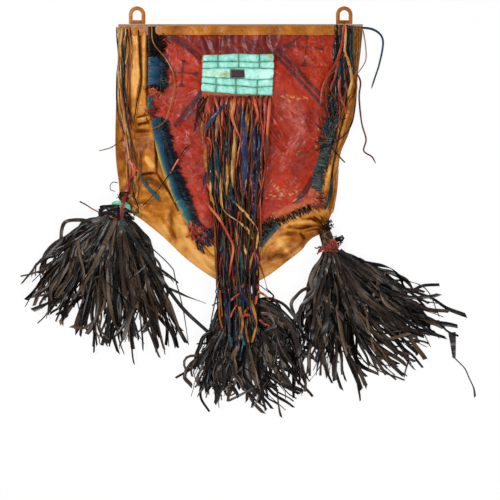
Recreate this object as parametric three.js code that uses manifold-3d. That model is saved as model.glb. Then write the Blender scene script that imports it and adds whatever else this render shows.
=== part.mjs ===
// A leather camel bag lying on its back: a flat tan pouch, open at the mouth, with a red shield panel
// on its front, a turquoise ornament with a long fringe, cut trim along the panel's edge, side thongs
// and three strip tassels.
// Millimetres. +X is to the right seen from the front, +Y points to the mouth and +Z out of the front.
// The origin is on the outer face of the back panel.
import * as THREE from "three";
import { mergeVertices } from "three/addons/utils/BufferGeometryUtils.js";
import Module from "manifold-3d";

const wasm = await Module();
wasm.setup();

// Leather, and the air between layers that lie on each other
const LEATHER = 1.6;
const TRIM = 1.4;
const SEAT_GAP = 0.3;
const DRAPE_GAP = 0.8;

// Pouch
const MOUTH_Y = 250;
const BACK_STEP = 7;
const SEAM_WIDTH = 7;
const ROLL_WIDTH = 22;
const BELLY_RISE = 28;
const MOUTH_RISE = 17;
const MOUTH_REACH = 120;
const MOUTH_BAND_WIDTH = 16;
const TIP = [-4, -221];
const LEFT_EAR = [-214, -72];
const RIGHT_EAR = [153, -121];

// Hanging loops
const LOOP_LENGTH = 32;
const LOOP_WIDTH = 30;
const LOOP_STRAP = 7;
const LOOP_THICKNESS = 3;
const LOOP_INSET = 34;

// Ornament
const ORNAMENT_WIDTH = 127;
const ORNAMENT_X = -4;
const ORNAMENT_BOTTOM = 122;
const ORNAMENT_ROWS = [13.6, 12.7, 19, 9.6, 14];
const ROW_GAP = 0.8;
const ROW_THICKNESS = 2.6;
const ROW_MARGIN = 1.5;
const CELL_NOTCH = 1.6;
const CELL_STEPS = [26, 64, 101];
const WINDOW_WIDTH = 26;
const WINDOW_HEIGHT = 15;

// Central fringe
const FRINGE_WIDTH = 120;
const FRINGE_HEADER = 9;
const FRINGE_LENGTH = 445;
const FRINGE_TAPER = 0.36;
const FRINGE_PITCH = TRIM + SEAT_GAP;
const FRINGE_STEPS = 3;

// Side thongs
const THONGS = 4;
const THONG_SPREAD = 24;
const THONG_HEADER = 4;
const THONG_ROOT = 3.2;
const THONG_TIP = 2.2;
const THONG_STEPS = 7;

// Tassels
const NECK_RADIUS = 8;
const NECK_LENGTH = 24;
const BINDING_WALL = 2.2;
const BINDING_LENGTH = 13;
const FOOT_WIDTH = 5;
const STRIP_ROOT = 5;
const STRIP_TIP = 9.5;
const STRIP_LAYERS = 3;
const STRIP_STEPS = 4;
const STRIP_FALL = 42;
const STRIP_PITCH = TRIM + 1.6;
const FLOOR_GAP = 0.2;
const LEFT_REACH = [225, 290];
const TIP_REACH = [185, 185];
const RIGHT_REACH = [245, 300];
const TIP_SWELL = 55;
const RIGHT_SWELL = 25;

// Materials, one for each colour of leather
const leather = (color, roughness) => new THREE.MeshStandardMaterial({ color, roughness, metalness: 0 });
const tan = leather(0xb87a34, 0.5);
const red = leather(0x9e3a2a, 0.45);
const orange = leather(0xba5b36, 0.55);
const blue = leather(0x254658, 0.55);
const teal = leather(0x2d5a5c, 0.6);
const darkTeal = leather(0x20343a, 0.65);
const turquoise = leather(0x8ad4c2, 0.5);
const green = leather(0x5fb98c, 0.5);
const ochre = leather(0xb98a3c, 0.55);
const navy = leather(0x26335c, 0.55);
const brown = leather(0x3a2c22, 0.6);
const black = leather(0x2c2521, 0.55);

// Small helpers
const lerp = (a, b, t) => a + (b - a) * t;
const clamp01 = (t) => Math.min(1, Math.max(0, t));
const smooth = (t) => clamp01(t) ** 2 * (3 - 2 * clamp01(t));
const point = (x, y) => new THREE.Vector2(x, y);

// A repeatable scatter from -1 to 1 for copy i of a row.
function scatter(i, row) {
  const wave = Math.sin(i * 12.9898 + row * 78.233) * 43758.5453;
  return 2 * (wave - Math.floor(wave)) - 1;
}

// Merges shared corners and drops the triangles that close up to a line.
function weld(geometry) {
  const bare = new THREE.BufferGeometry();
  bare.setAttribute("position", geometry.getAttribute("position"));
  if (geometry.index) bare.setIndex(geometry.index);
  const merged = mergeVertices(bare, 1e-4);
  const corners = merged.index.array;
  const kept = [];
  for (let i = 0; i < corners.length; i += 3) {
    const [a, b, c] = corners.slice(i, i + 3);
    if (a !== b && b !== c && c !== a) kept.push(a, b, c);
  }
  merged.setIndex(kept);
  return merged;
}

function toSolid(geometry) {
  const closed = weld(geometry);
  const vertProperties = new Float32Array(closed.getAttribute("position").array);
  const triVerts = new Uint32Array(closed.index.array);
  return new wasm.Manifold(new wasm.Mesh({ numProp: 3, vertProperties, triVerts }));
}

// One closed geometry from several that overlap.
function joined(geometries) {
  const [first, ...others] = geometries.map(toSolid);
  const mesh = others.reduce((sum, next) => sum.add(next), first).getMesh();
  const geometry = new THREE.BufferGeometry();
  geometry.setAttribute("position", new THREE.BufferAttribute(mesh.vertProperties, 3));
  geometry.setIndex(new THREE.BufferAttribute(mesh.triVerts, 1));
  return geometry;
}

function piece(name, geometry, material) {
  const mesh = new THREE.Mesh(geometry, material);
  mesh.name = name;
  return mesh;
}

// A smooth edge line through a few points, from the mouth down.
function edgeLine(points) {
  const steps = points.length * 3;
  return new THREE.SplineCurve(points.map(([x, y]) => point(x, y))).getPoints(steps);
}

// Where an edge line crosses the height y.
function edgeX(line, y) {
  const below = line.findIndex((p) => p.y <= y);
  if (below <= 0) return below === 0 ? line[0].x : line[line.length - 1].x;
  const [high, low] = [line[below - 1], line[below]];
  return lerp(low.x, high.x, (y - low.y) / (high.y - low.y));
}

function distanceToLine(line, x, y) {
  let nearest = Infinity;
  for (let i = 1; i < line.length; i += 1) {
    const [a, b] = [line[i - 1], line[i]];
    const run = b.clone().sub(a);
    const share = clamp01(point(x - a.x, y - a.y).dot(run) / run.lengthSq());
    nearest = Math.min(nearest, Math.hypot(x - a.x - run.x * share, y - a.y - run.y * share));
  }
  return nearest;
}

// The pouch's seam, down the left side and down the right side to the tip
const leftSeam = edgeLine([
  [-221, MOUTH_Y], [-222, 189], [-225, 117], [-226, 27], [-220, -31], LEFT_EAR,
  [-180, -97], [-139, -130], [-95, -171], [-43, -207], TIP,
]);
const rightSeam = edgeLine([
  [223, MOUTH_Y], [218, 200], [212, 153], [207, 103], [198, 61], [184, 27], [179, 0], [177, -36], [171, -77],
  RIGHT_EAR, [130, -135], [111, -153], [90, -171], [59, -194], [34, -209], TIP,
]);
// The red panel's edge, the same way
const leftPanelEdge = edgeLine([
  [-162, MOUTH_Y], [-162, 117], [-151, 81], [-133, 27], [-108, -45],
  [-83, -99], [-58, -135], [-29, -160], [-4, -171],
]);
const rightPanelEdge = edgeLine([
  [193, MOUTH_Y], [188, 189], [181, 135], [172, 81], [155, 27], [143, -27], [136, -48], [117, -65], [90, -75],
  [57, -92], [40, -118], [24, -150], [-4, -171],
]);
const [panelTip] = leftPanelEdge.slice(-1);

// Height of the front's outer face over the floor: flat at the seam, rolled up to the belly,
// lower at the mouth.
const seamTop = LEATHER + SEAT_GAP + LEATHER;
const bellyTop = seamTop + BELLY_RISE;
function frontTop(x, y) {
  const inside = Math.min(distanceToLine(leftSeam, x, y), distanceToLine(rightSeam, x, y)) - SEAM_WIDTH;
  const rise = lerp(MOUTH_RISE, BELLY_RISE, smooth((MOUTH_Y - y) / MOUTH_REACH));
  return seamTop + rise * Math.sin((clamp01(inside / ROLL_WIDTH) * Math.PI) / 2);
}

// Heights of the layers over the front's outer face
const panelUnder = DRAPE_GAP;
const panelTop = panelUnder + LEATHER;
const bandUnder = panelTop + DRAPE_GAP;
const bandTop = bandUnder + TRIM;
const thongUnder = bandTop + DRAPE_GAP;

// Where the columns of a sheet stand across its width: close together along the roll at each side.
function columnShares(width) {
  const rim = [0, SEAM_WIDTH];
  for (const part of [1, 2, 3]) rim.push(SEAM_WIDTH + (ROLL_WIDTH * part) / 3);
  const scale = Math.min(1, width / (3 * (SEAM_WIDTH + ROLL_WIDTH)));
  const shares = rim.map((offset) => (width > 0 ? (offset * scale) / width : 0));
  return [...shares, 0.5, ...shares.map((share) => 1 - share).reverse()];
}

// A sheet between two edge lines, from y = low to y = high, lying on the surface under(x, y).
function sheetGeometry({ left, right, low, high, rows, under, thickness }) {
  const positions = [];
  const index = [];
  const columns = columnShares(0).length - 1;
  for (const lift of [thickness, 0]) {
    for (let j = 0; j <= rows; j += 1) {
      const y = lerp(low, high, j / rows);
      const [start, end] = [edgeX(left, y), edgeX(right, y)];
      for (const share of columnShares(end - start)) {
        const x = lerp(start, end, share);
        positions.push(x, y, under(x, y) + lift);
      }
    }
  }
  const upper = (j, i) => j * (columns + 1) + i;
  const lower = (j, i) => (rows + 1) * (columns + 1) + upper(j, i);
  const quad = (a, b, c, d) => index.push(a, b, c, a, c, d);
  for (let j = 0; j < rows; j += 1) {
    for (let i = 0; i < columns; i += 1) {
      quad(upper(j, i), upper(j, i + 1), upper(j + 1, i + 1), upper(j + 1, i));
      quad(lower(j, i), lower(j + 1, i), lower(j + 1, i + 1), lower(j, i + 1));
    }
    quad(lower(j, 0), upper(j, 0), upper(j + 1, 0), lower(j + 1, 0));
    quad(upper(j, columns), lower(j, columns), lower(j + 1, columns), upper(j + 1, columns));
  }
  for (let i = 0; i < columns; i += 1) {
    quad(upper(0, i), lower(0, i), lower(0, i + 1), upper(0, i + 1));
    quad(lower(rows, i), upper(rows, i), upper(rows, i + 1), lower(rows, i + 1));
  }
  const geometry = new THREE.BufferGeometry();
  geometry.setAttribute("position", new THREE.Float32BufferAttribute(positions, 3));
  geometry.setIndex(index);
  return weld(geometry);
}

// A plate with upright sides, laid on the surface under(x, y): an outline and the triangles that fill it.
function plateGeometry(outline, faces, thickness, under) {
  const count = outline.length;
  const turned = THREE.ShapeUtils.isClockWise(outline);
  const face = (lift) => outline.flatMap(({ x, y }) => [x, y, under(x, y) + lift]);
  const positions = [...face(thickness), ...face(0)];
  const index = [];
  const add = (a, b, c) => (turned ? index.push(c, b, a) : index.push(a, b, c));
  for (const [a, b, c] of faces) {
    add(a, b, c);
    add(count + c, count + b, count + a);
  }
  for (let i = 0; i < count; i += 1) {
    const next = (i + 1) % count;
    add(i, count + i, count + next);
    add(i, count + next, next);
  }
  const geometry = new THREE.BufferGeometry();
  geometry.setAttribute("position", new THREE.Float32BufferAttribute(positions, 3));
  geometry.setIndex(index);
  return weld(geometry);
}

// A flat shape cut from leather and laid on a level.
function laidGeometry(shape, thickness, level) {
  const plate = new THREE.ExtrudeGeometry(shape, { depth: thickness, bevelEnabled: false });
  return weld(plate.translate(0, 0, level));
}

// A cut fringe: a header line, and strands along it from its end back to its start,
// one for each step of the header.
// A strand has a centre line and a width.
function combGeometry(header, strands, thickness, under) {
  const outline = [...header];
  const faces = [];
  strands.forEach(({ line, width }, n) => {
    const start = outline.length;
    const end = start + 2 * line.length - 1;
    const sides = line.map((p, k) => {
      const run = line[Math.min(k + 1, line.length - 1)].clone().sub(line[Math.max(k - 1, 0)]).normalize();
      const half = width(k / (line.length - 1)) / 2;
      return [point(p.x - run.y * half, p.y + run.x * half), point(p.x + run.y * half, p.y - run.x * half)];
    });
    outline.push(...sides.map(([near]) => near), ...sides.map(([, far]) => far).reverse());
    for (let k = 1; k < line.length; k += 1) {
      faces.push([start + k - 1, start + k, end - k], [start + k - 1, end - k, end - k + 1]);
    }
    const step = strands.length - 1 - n;
    faces.push([step, step + 1, start], [step, start, end]);
    if (step > 0) faces.push([step, end, end + 1]);
  });
  return plateGeometry(outline, faces, thickness, under);
}

function pouch() {
  const group = new THREE.Group();
  const backOutline = [...leftSeam, ...rightSeam.slice(0, -1).reverse()];
  const [topLeft] = leftSeam;
  const [topRight] = rightSeam;
  backOutline.push(point(topRight.x, MOUTH_Y + BACK_STEP), point(topLeft.x, MOUTH_Y + BACK_STEP));
  group.add(piece("back_panel", laidGeometry(new THREE.Shape(backOutline), LEATHER, 0), tan));
  const sides = { left: leftSeam, right: rightSeam };
  const front = sheetGeometry({
    ...sides, low: TIP[1], high: MOUTH_Y, rows: 18, under: (x, y) => frontTop(x, y) - LEATHER,
    thickness: LEATHER,
  });
  group.add(piece("front_panel", front, tan));
  const band = sheetGeometry({
    ...sides, low: MOUTH_Y - MOUTH_BAND_WIDTH, high: MOUTH_Y, rows: 1,
    under: (x, y) => frontTop(x, y) + bandUnder, thickness: TRIM,
  });
  group.add(piece("mouth_band", band, tan));
  return group;
}

// A flat ring sewn to the back's top edge, lying on the floor.
function hangingLoop(name, x) {
  const half = LOOP_WIDTH / 2;
  const gap = half - LOOP_STRAP;
  const bow = LOOP_LENGTH - half;
  const outer = new THREE.Shape();
  outer.moveTo(-half, 0).lineTo(half, 0).lineTo(half, bow);
  outer.absarc(0, bow, half, 0, Math.PI, false);
  const hole = new THREE.Path();
  hole.moveTo(-gap, LOOP_STRAP).lineTo(gap, LOOP_STRAP).lineTo(gap, bow);
  hole.absarc(0, bow, gap, 0, Math.PI, false);
  outer.holes.push(hole);
  const settings = { depth: LOOP_THICKNESS, bevelEnabled: false, curveSegments: 8 };
  const ring = new THREE.ExtrudeGeometry(outer, settings);
  const mesh = piece(name, ring, tan);
  mesh.position.set(x, MOUTH_Y + BACK_STEP + SEAT_GAP, FLOOR_GAP);
  return mesh;
}

function redPanel() {
  const geometry = sheetGeometry({
    left: leftPanelEdge, right: rightPanelEdge, low: panelTip.y, high: MOUTH_Y, rows: 18,
    under: (x, y) => frontTop(x, y) + panelUnder, thickness: LEATHER,
  });
  return piece("red_panel", geometry, red);
}

// A trim band along a path, cut into teeth on the path's right-hand side.
function edgeBand(name, { path, width, teeth, length, slant, under, material }) {
  const curve = new THREE.SplineCurve(path.map(([x, y]) => point(x, y)));
  const header = curve.getSpacedPoints(teeth);
  const pitch = curve.getLength() / teeth;
  const row = name.length;
  const strands = [];
  for (let i = teeth - 1; i >= 0; i -= 1) {
    const share = (i + 0.5) / teeth;
    const run = curve.getTangentAt(share);
    const inward = point(run.y, -run.x);
    const root = curve.getPointAt(share).addScaledVector(inward, width);
    const aim = inward.clone().rotateAround(point(0, 0), slant + 0.12 * scatter(i, row));
    const tip = root.clone().addScaledVector(aim, length * (1 + 0.25 * scatter(i, row + 1)));
    strands.push({ line: [root, tip], width: (s) => pitch * lerp(0.8, 0.5, s) });
  }
  const surface = (x, y) => frontTop(x, y) + under;
  return piece(name, combGeometry(header, strands, TRIM, surface), material);
}

function edgeTrim() {
  const group = new THREE.Group();
  const onPanel = { under: bandUnder };
  const onPouch = { under: DRAPE_GAP };
  const bands = {
    left_end_tuft: {
      ...onPanel, path: [[-72, -150], [-87, -110]], width: 7, teeth: 7, length: 15, slant: -0.2,
      material: red,
    },
    left_tail_band: {
      ...onPanel, path: [[-89, -105], [-112, -62]], width: 24, teeth: 5, length: 8, slant: -0.2,
      material: teal,
    },
    left_long_band: {
      ...onPanel, path: [[-114, -57], [-136, 0], [-152, 52], [-160, 82]], width: 18, teeth: 15, length: 15,
      slant: -0.35, material: blue,
    },
    left_middle_tuft: {
      ...onPanel, path: [[-163, 92], [-165, 128]], width: 9, teeth: 5, length: 13, slant: -0.4, material: red,
    },
    left_upper_band: {
      ...onPanel, path: [[-166, 135], [-166, 194]], width: 23, teeth: 8, length: 13, slant: -0.3,
      material: blue,
    },
    left_top_tuft: {
      ...onPanel, path: [[-166, MOUTH_Y - 47], [-166, MOUTH_Y - 22]], width: 12, teeth: 5, length: 20,
      slant: -0.2, material: brown,
    },
    right_long_band: {
      ...onPanel, path: [[189, 226], [183, 150], [170, 84], [153, 27], [142, -24]], width: 13, teeth: 20,
      length: 14, slant: 0.3, material: darkTeal,
    },
    right_red_band: {
      ...onPouch, path: [[63, -92], [92, -79], [118, -68], [133, -58]], width: 11, teeth: 11, length: 10,
      slant: 0, material: orange,
    },
    right_tail_band: {
      ...onPouch, path: [[29, -152], [44, -121], [56, -101]], width: 9, teeth: 6, length: 7, slant: -0.2,
      material: darkTeal,
    },
  };
  for (const [name, band] of Object.entries(bands)) group.add(edgeBand(name, band));
  return group;
}

// One turquoise row: a strip that is pinched in at each line of stitches.
function rowShape(height, pinched) {
  const half = height / 2;
  const steps = pinched ? CELL_STEPS : [];
  const end = ORNAMENT_WIDTH - 2 * ROW_MARGIN;
  const upper = [point(0, half)];
  for (const x of steps) {
    upper.push(point(x - CELL_NOTCH, half), point(x, half - CELL_NOTCH), point(x + CELL_NOTCH, half));
  }
  upper.push(point(end, half));
  const lower = upper.map((p) => point(p.x, -p.y)).reverse();
  return new THREE.Shape([...upper, ...lower]);
}

function rectanglePath(shape, x, y, width, height) {
  shape.moveTo(x - width / 2, y - height / 2).lineTo(x + width / 2, y - height / 2);
  shape.lineTo(x + width / 2, y + height / 2).lineTo(x - width / 2, y + height / 2).closePath();
  return shape;
}

const ornamentHeight = ORNAMENT_ROWS.reduce((sum, row) => sum + row + ROW_GAP, ROW_GAP);

function ornament() {
  const group = new THREE.Group();
  group.position.set(ORNAMENT_X - ORNAMENT_WIDTH / 2, ORNAMENT_BOTTOM, bellyTop + panelTop + SEAT_GAP);
  const centre = [ORNAMENT_WIDTH / 2, ornamentHeight / 2];
  const plate = rectanglePath(new THREE.Shape(), ...centre, ORNAMENT_WIDTH, ornamentHeight);
  group.add(piece("ornament_backing", laidGeometry(plate, LEATHER, 0), orange));
  const rowZ = LEATHER + SEAT_GAP;
  const middle = (ORNAMENT_ROWS.length - 1) / 2;
  let y = ROW_GAP;
  ORNAMENT_ROWS.forEach((height, i) => {
    const shape = rowShape(height, i !== middle);
    const centre = (ORNAMENT_WIDTH - 2 * ROW_MARGIN) / 2;
    if (i === middle) {
      shape.holes.push(rectanglePath(new THREE.Path(), centre, 0, WINDOW_WIDTH, WINDOW_HEIGHT));
      const [width, tall] = [WINDOW_WIDTH - 2 * SEAT_GAP, WINDOW_HEIGHT - 2 * SEAT_GAP];
      const patch = piece(
        "ornament_window",
        laidGeometry(rectanglePath(new THREE.Shape(), centre, 0, width, tall), TRIM, 0),
        brown,
      );
      patch.position.set(ROW_MARGIN, y + height / 2, rowZ);
      group.add(patch);
    }
    const row = piece(`ornament_row_${i + 1}`, laidGeometry(shape, ROW_THICKNESS, 0), turquoise);
    row.position.set(ROW_MARGIN, y + height / 2, rowZ);
    group.add(row);
    y += height + ROW_GAP;
  });
  return group;
}

// The neck's height over the floor; the fringe lies level on the belly, then falls to the tip's tassel.
const bindingRadius = NECK_RADIUS + SEAT_GAP + BINDING_WALL;
const neckZ = bindingRadius + FLOOR_GAP;
const fringeOnBag = bellyTop + panelTop + SEAT_GAP;
const fringeAtEnd = Math.min(fringeOnBag, neckZ + NECK_RADIUS + TRIM);
const fringeTop = ORNAMENT_BOTTOM - SEAT_GAP;
const fringeEnd = fringeTop - FRINGE_LENGTH;
const fallStart = TIP[1] + SEAM_WIDTH + ROLL_WIDTH;
const fringeUnder = (y) => lerp(fringeOnBag, fringeAtEnd, clamp01((fallStart - y) / (fallStart - fringeEnd)));

// One layer of the central fringe: thongs cut from a header, running together towards their ends.
function fringeLayer(layer, { name, strands, root, tip, material }) {
  const pitch = FRINGE_WIDTH / strands;
  const left = ORNAMENT_X - FRINGE_WIDTH / 2;
  const header = [];
  for (let i = 0; i <= strands; i += 1) header.push(point(left + i * pitch, fringeTop));
  const cutTop = fringeTop - FRINGE_HEADER;
  const width = (s) => lerp(root, tip, s);
  const cut = [];
  for (let i = strands - 1; i >= 0; i -= 1) {
    const start = left + (i + 0.5) * pitch;
    const spare = (pitch * (1 - FRINGE_TAPER) - Math.max(root, tip)) / 2;
    const end = lerp(fallStart, fringeEnd, 0.7 + 0.3 * scatter(i, layer));
    const line = [];
    for (let k = 0; k <= 2 * FRINGE_STEPS; k += 1) {
      const onBag = Math.min(1, k / FRINGE_STEPS);
      const past = Math.max(0, k / FRINGE_STEPS - 1);
      const y = lerp(lerp(cutTop, fallStart, onBag), end, past);
      const sway = spare * Math.min(1, onBag * FRINGE_STEPS) * scatter(i * FRINGE_STEPS + k, layer + 5);
      line.push(point(lerp(start, ORNAMENT_X, (FRINGE_TAPER * (cutTop - y)) / FRINGE_LENGTH) + sway, y));
    }
    cut.push({ line, width });
  }
  const under = (x, y) => fringeUnder(y) + layer * FRINGE_PITCH;
  return piece(name, combGeometry(header, cut, TRIM, under), material);
}

function centralFringe() {
  const group = new THREE.Group();
  const layers = [
    { name: "fringe_brown", strands: 8, root: 4, tip: 3.5, material: brown },
    { name: "fringe_teal", strands: 7, root: 4, tip: 4, material: teal },
    { name: "fringe_navy", strands: 7, root: 4, tip: 5, material: navy },
    { name: "fringe_ochre", strands: 7, root: 3.5, tip: 4, material: ochre },
    { name: "fringe_red", strands: 9, root: 4.5, tip: 3, material: red },
  ];
  layers.forEach((layer, k) => group.add(fringeLayer(k, layer)));
  return group;
}

// A bundle of long thongs down one side of the pouch, cut from a short header on the mouth band.
function sideThongs(name, layer, { path, under, material }) {
  const curve = new THREE.SplineCurve(path.map(([x, y]) => point(x, y)));
  const start = curve.getPointAt(0);
  const pitch = THONG_SPREAD / THONGS;
  const header = [];
  for (let i = 0; i <= THONGS; i += 1) header.push(point(start.x + (i - THONGS / 2) * pitch, start.y));
  const width = (s) => lerp(THONG_ROOT, THONG_TIP, s);
  const rootShare = THONG_HEADER / curve.getLength();
  const cut = [];
  for (let i = THONGS - 1; i >= 0; i -= 1) {
    const reach = 0.86 + 0.14 * scatter(i, layer);
    const line = [];
    for (let k = 0; k <= THONG_STEPS; k += 1) {
      const s = k / THONG_STEPS;
      const p = curve.getPointAt(lerp(rootShare, reach, s));
      const sway = Math.min(1, 4 * s) * 0.25 * scatter(i * THONG_STEPS + k, layer + 9);
      line.push(point(p.x + (i + 0.5 - THONGS / 2 + sway) * pitch, p.y));
    }
    cut.push({ line, width });
  }
  const surface = (x, y) => frontTop(x, y) + under(y) + layer * (TRIM + DRAPE_GAP);
  return piece(name, combGeometry(header, cut, TRIM, surface), material);
}

function allSideThongs() {
  const group = new THREE.Group();
  const headerY = MOUTH_Y - SEAM_WIDTH / 2;
  const bandEnd = MOUTH_Y - MOUTH_BAND_WIDTH;
  const onMouthBand = (y) => smooth((y - bandEnd) / (4 * MOUTH_BAND_WIDTH) + 1.5);
  const leftUnder = (y) => lerp(DRAPE_GAP, thongUnder, onMouthBand(y));
  const rightUnder = () => thongUnder;
  const down = (x, drop) => [x, headerY - drop];
  const bundles = {
    left_thongs_teal: {
      path: [down(-180, 0), down(-181, 106), down(-178, 206), down(-178, 286)],
      material: teal,
    },
    left_thongs_red: {
      path: [down(-178, 0), down(-179, 96), down(-182, 186), down(-182, 266)],
      material: red,
    },
    left_thongs_ochre: {
      path: [down(-179, 0), down(-177, 96), down(-179, 196), down(-176, 298)],
      material: ochre,
    },
    right_thongs_teal: {
      path: [down(174, 0), down(173, 86), down(156, 176), down(134, 256)],
      material: teal,
    },
    right_thongs_red: {
      path: [down(176, 0), down(171, 86), down(158, 166), down(142, 246)],
      material: red,
    },
    right_thongs_ochre: {
      path: [down(177, 0), down(174, 86), down(160, 176), down(144, 276)],
      material: ochre,
    },
  };
  Object.entries(bundles).forEach(([name, bundle], k) => {
    const under = name.startsWith("left") ? leftUnder : rightUnder;
    group.add(sideThongs(name, k % 3, { ...bundle, under }));
  });
  return group;
}

// A cylinder along the tassel's own X axis, at the height of the neck.
function barGeometry(radius, length, start) {
  const bar = new THREE.CylinderGeometry(radius, radius, length, 12);
  return bar.rotateZ(-Math.PI / 2).translate(start + length / 2, 0, neckZ);
}

// A lathed ring of three wraps round the neck.
function bindingGeometry() {
  const inner = NECK_RADIUS + SEAT_GAP;
  const wraps = 3;
  const wrap = BINDING_LENGTH / wraps;
  const profile = [point(inner, 0)];
  for (let i = 0; i < wraps; i += 1) {
    const from = i * wrap;
    profile.push(point(inner + BINDING_WALL / 2, from), point(bindingRadius, from + wrap / 2));
  }
  profile.push(point(inner + BINDING_WALL / 2, BINDING_LENGTH));
  profile.push(point(inner, BINDING_LENGTH), point(inner, 0));
  const ring = new THREE.LatheGeometry(profile, 12);
  return ring.rotateZ(-Math.PI / 2).translate((NECK_LENGTH - BINDING_LENGTH) / 2, 0, neckZ);
}

// One layer of strips fanned out from the hub, in the tassel's own frame.
function stripLayer(layer, { strips, spread, reach, seed }, hubStart) {
  const pitch = spread / strips;
  const sector = (1.2 * STRIP_ROOT) / pitch;
  const half = 0.7 * NECK_RADIUS;
  const cut = [];
  for (let i = strips - 1; i >= 0; i -= 1) {
    const share = (i + 0.5) / strips;
    const angle = (share - 0.5) * spread;
    const length = reach(share) * (0.88 + 0.12 * scatter(i, layer + seed)) - hubStart - sector;
    const bend = 0.28 * pitch * (scatter(i, layer + seed + 3) + (layer - 1) * 0.5);
    const line = [];
    for (let k = 0; k <= STRIP_STEPS; k += 1) {
      const s = k / STRIP_STEPS;
      const turn = angle + bend * s;
      const out = sector + length * s;
      line.push(point(hubStart + out * Math.cos(turn), out * Math.sin(turn)));
    }
    cut.push({ line, width: (s) => lerp(STRIP_ROOT, STRIP_TIP, smooth(2 * s)) });
  }
  const header = [];
  for (let i = 0; i <= strips; i += 1) header.push(point(hubStart, lerp(-half, half, i / strips)));
  const floor = FLOOR_GAP + layer * STRIP_PITCH;
  const lift = neckZ + (layer - 1) * 0.45 * NECK_RADIUS - TRIM / 2 - floor;
  const under = (x, y) => floor + lift * Math.exp(-Math.hypot(x - hubStart, y) / STRIP_FALL);
  return combGeometry(header, cut, TRIM, under);
}

// A tassel in its own frame: X runs out along the neck from the ear of the pouch that it is tied to.
function tassel(name, spec) {
  const group = new THREE.Group();
  const [x, y] = spec.at;
  const turn = THREE.MathUtils.degToRad(spec.turn);
  group.position.set(x + spec.standoff * Math.cos(turn), y + spec.standoff * Math.sin(turn), 0);
  group.rotation.z = turn;
  const footLength = (NECK_LENGTH - BINDING_LENGTH) / 2 - 2 * SEAT_GAP;
  const foot = new THREE.BoxGeometry(footLength, FOOT_WIDTH, neckZ - FLOOR_GAP);
  foot.translate(SEAT_GAP + footLength / 2, 0, (neckZ + FLOOR_GAP) / 2);
  const neck = joined([barGeometry(NECK_RADIUS, NECK_LENGTH - SEAT_GAP, SEAT_GAP), foot]);
  group.add(piece(`${name}_neck`, neck, brown));
  group.add(piece(`${name}_binding`, bindingGeometry(), spec.binding));
  const hubStart = NECK_LENGTH + SEAT_GAP;
  const parts = [barGeometry(NECK_RADIUS, NECK_RADIUS, hubStart)];
  for (let layer = 0; layer < STRIP_LAYERS; layer += 1) parts.push(stripLayer(layer, spec, hubStart + 1));
  group.add(piece(`${name}_strips`, joined(parts), black));
  return group;
}

function tassels() {
  const group = new THREE.Group();
  const degrees = THREE.MathUtils.degToRad;
  const reachOf = ([first, last], swell) => (s) => lerp(first, last, s) + swell * Math.sin(Math.PI * s);
  const tasselSpecs = {
    left_tassel: {
      at: LEFT_EAR, standoff: 1.6, turn: -105, strips: 9, spread: degrees(94), reach: reachOf(LEFT_REACH, 0),
      seed: 11, binding: green,
    },
    tip_tassel: {
      at: TIP, standoff: 0.1, turn: -88, strips: 9, spread: degrees(76), reach: reachOf(TIP_REACH, TIP_SWELL),
      seed: 23, binding: brown,
    },
    right_tassel: {
      at: RIGHT_EAR, standoff: 0.7, turn: -58, strips: 9, spread: degrees(82),
      reach: reachOf(RIGHT_REACH, RIGHT_SWELL), seed: 37, binding: orange,
    },
  };
  for (const [name, spec] of Object.entries(tasselSpecs)) group.add(tassel(name, spec));
  return group;
}

const bag = new THREE.Group();
bag.add(pouch());
bag.add(hangingLoop("left_hanging_loop", leftSeam[0].x + LOOP_INSET));
bag.add(hangingLoop("right_hanging_loop", rightSeam[0].x - LOOP_INSET));
bag.add(redPanel());
bag.add(edgeTrim());
bag.add(ornament());
bag.add(centralFringe());
bag.add(allSideThongs());
bag.add(tassels());

export default bag;
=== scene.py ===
import math
import bpy
import numpy as np
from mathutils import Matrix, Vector


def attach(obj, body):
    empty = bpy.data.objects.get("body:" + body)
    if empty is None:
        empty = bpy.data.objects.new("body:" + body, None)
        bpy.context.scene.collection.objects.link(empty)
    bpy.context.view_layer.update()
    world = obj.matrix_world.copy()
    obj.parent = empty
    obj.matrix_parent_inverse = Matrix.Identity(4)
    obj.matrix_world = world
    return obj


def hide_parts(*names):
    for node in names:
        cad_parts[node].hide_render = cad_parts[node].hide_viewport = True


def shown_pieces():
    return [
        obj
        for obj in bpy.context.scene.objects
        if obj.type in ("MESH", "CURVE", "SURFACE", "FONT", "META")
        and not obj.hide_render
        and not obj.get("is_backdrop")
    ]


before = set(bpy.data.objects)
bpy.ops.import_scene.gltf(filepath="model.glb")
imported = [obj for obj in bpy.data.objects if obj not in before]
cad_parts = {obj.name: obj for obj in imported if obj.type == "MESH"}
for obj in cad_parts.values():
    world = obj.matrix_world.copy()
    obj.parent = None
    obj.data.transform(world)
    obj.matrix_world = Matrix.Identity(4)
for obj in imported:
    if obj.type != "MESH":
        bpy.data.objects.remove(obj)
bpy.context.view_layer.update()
print("frame loaded")

# Lengths are millimetres of the bag's frame until a mesh is made. Places are given on a plan in steps of
# 1.8 mm, counted to the right and down.
plan = {"step": 1.8, "midX": 240.0, "midY": 165.0}


def planX(px):
    return (px - plan["midX"]) * plan["step"]


def planY(py):
    return (plan["midY"] - py) * plan["step"]


def onPlan(points):
    p = np.asarray(points, float)
    return np.stack([planX(p[..., 0]), planY(p[..., 1])], -1)


# Length run so far at each point of a line.
def runOf(line):
    return np.concatenate([[0.0], np.cumsum(np.linalg.norm(np.diff(line, axis=0), axis=1))])


def evenly(line, count):
    run = runOf(line)
    at = np.linspace(0, run[-1], count)
    return np.stack([np.interp(at, run, line[:, i]) for i in range(line.shape[1])], -1)


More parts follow.
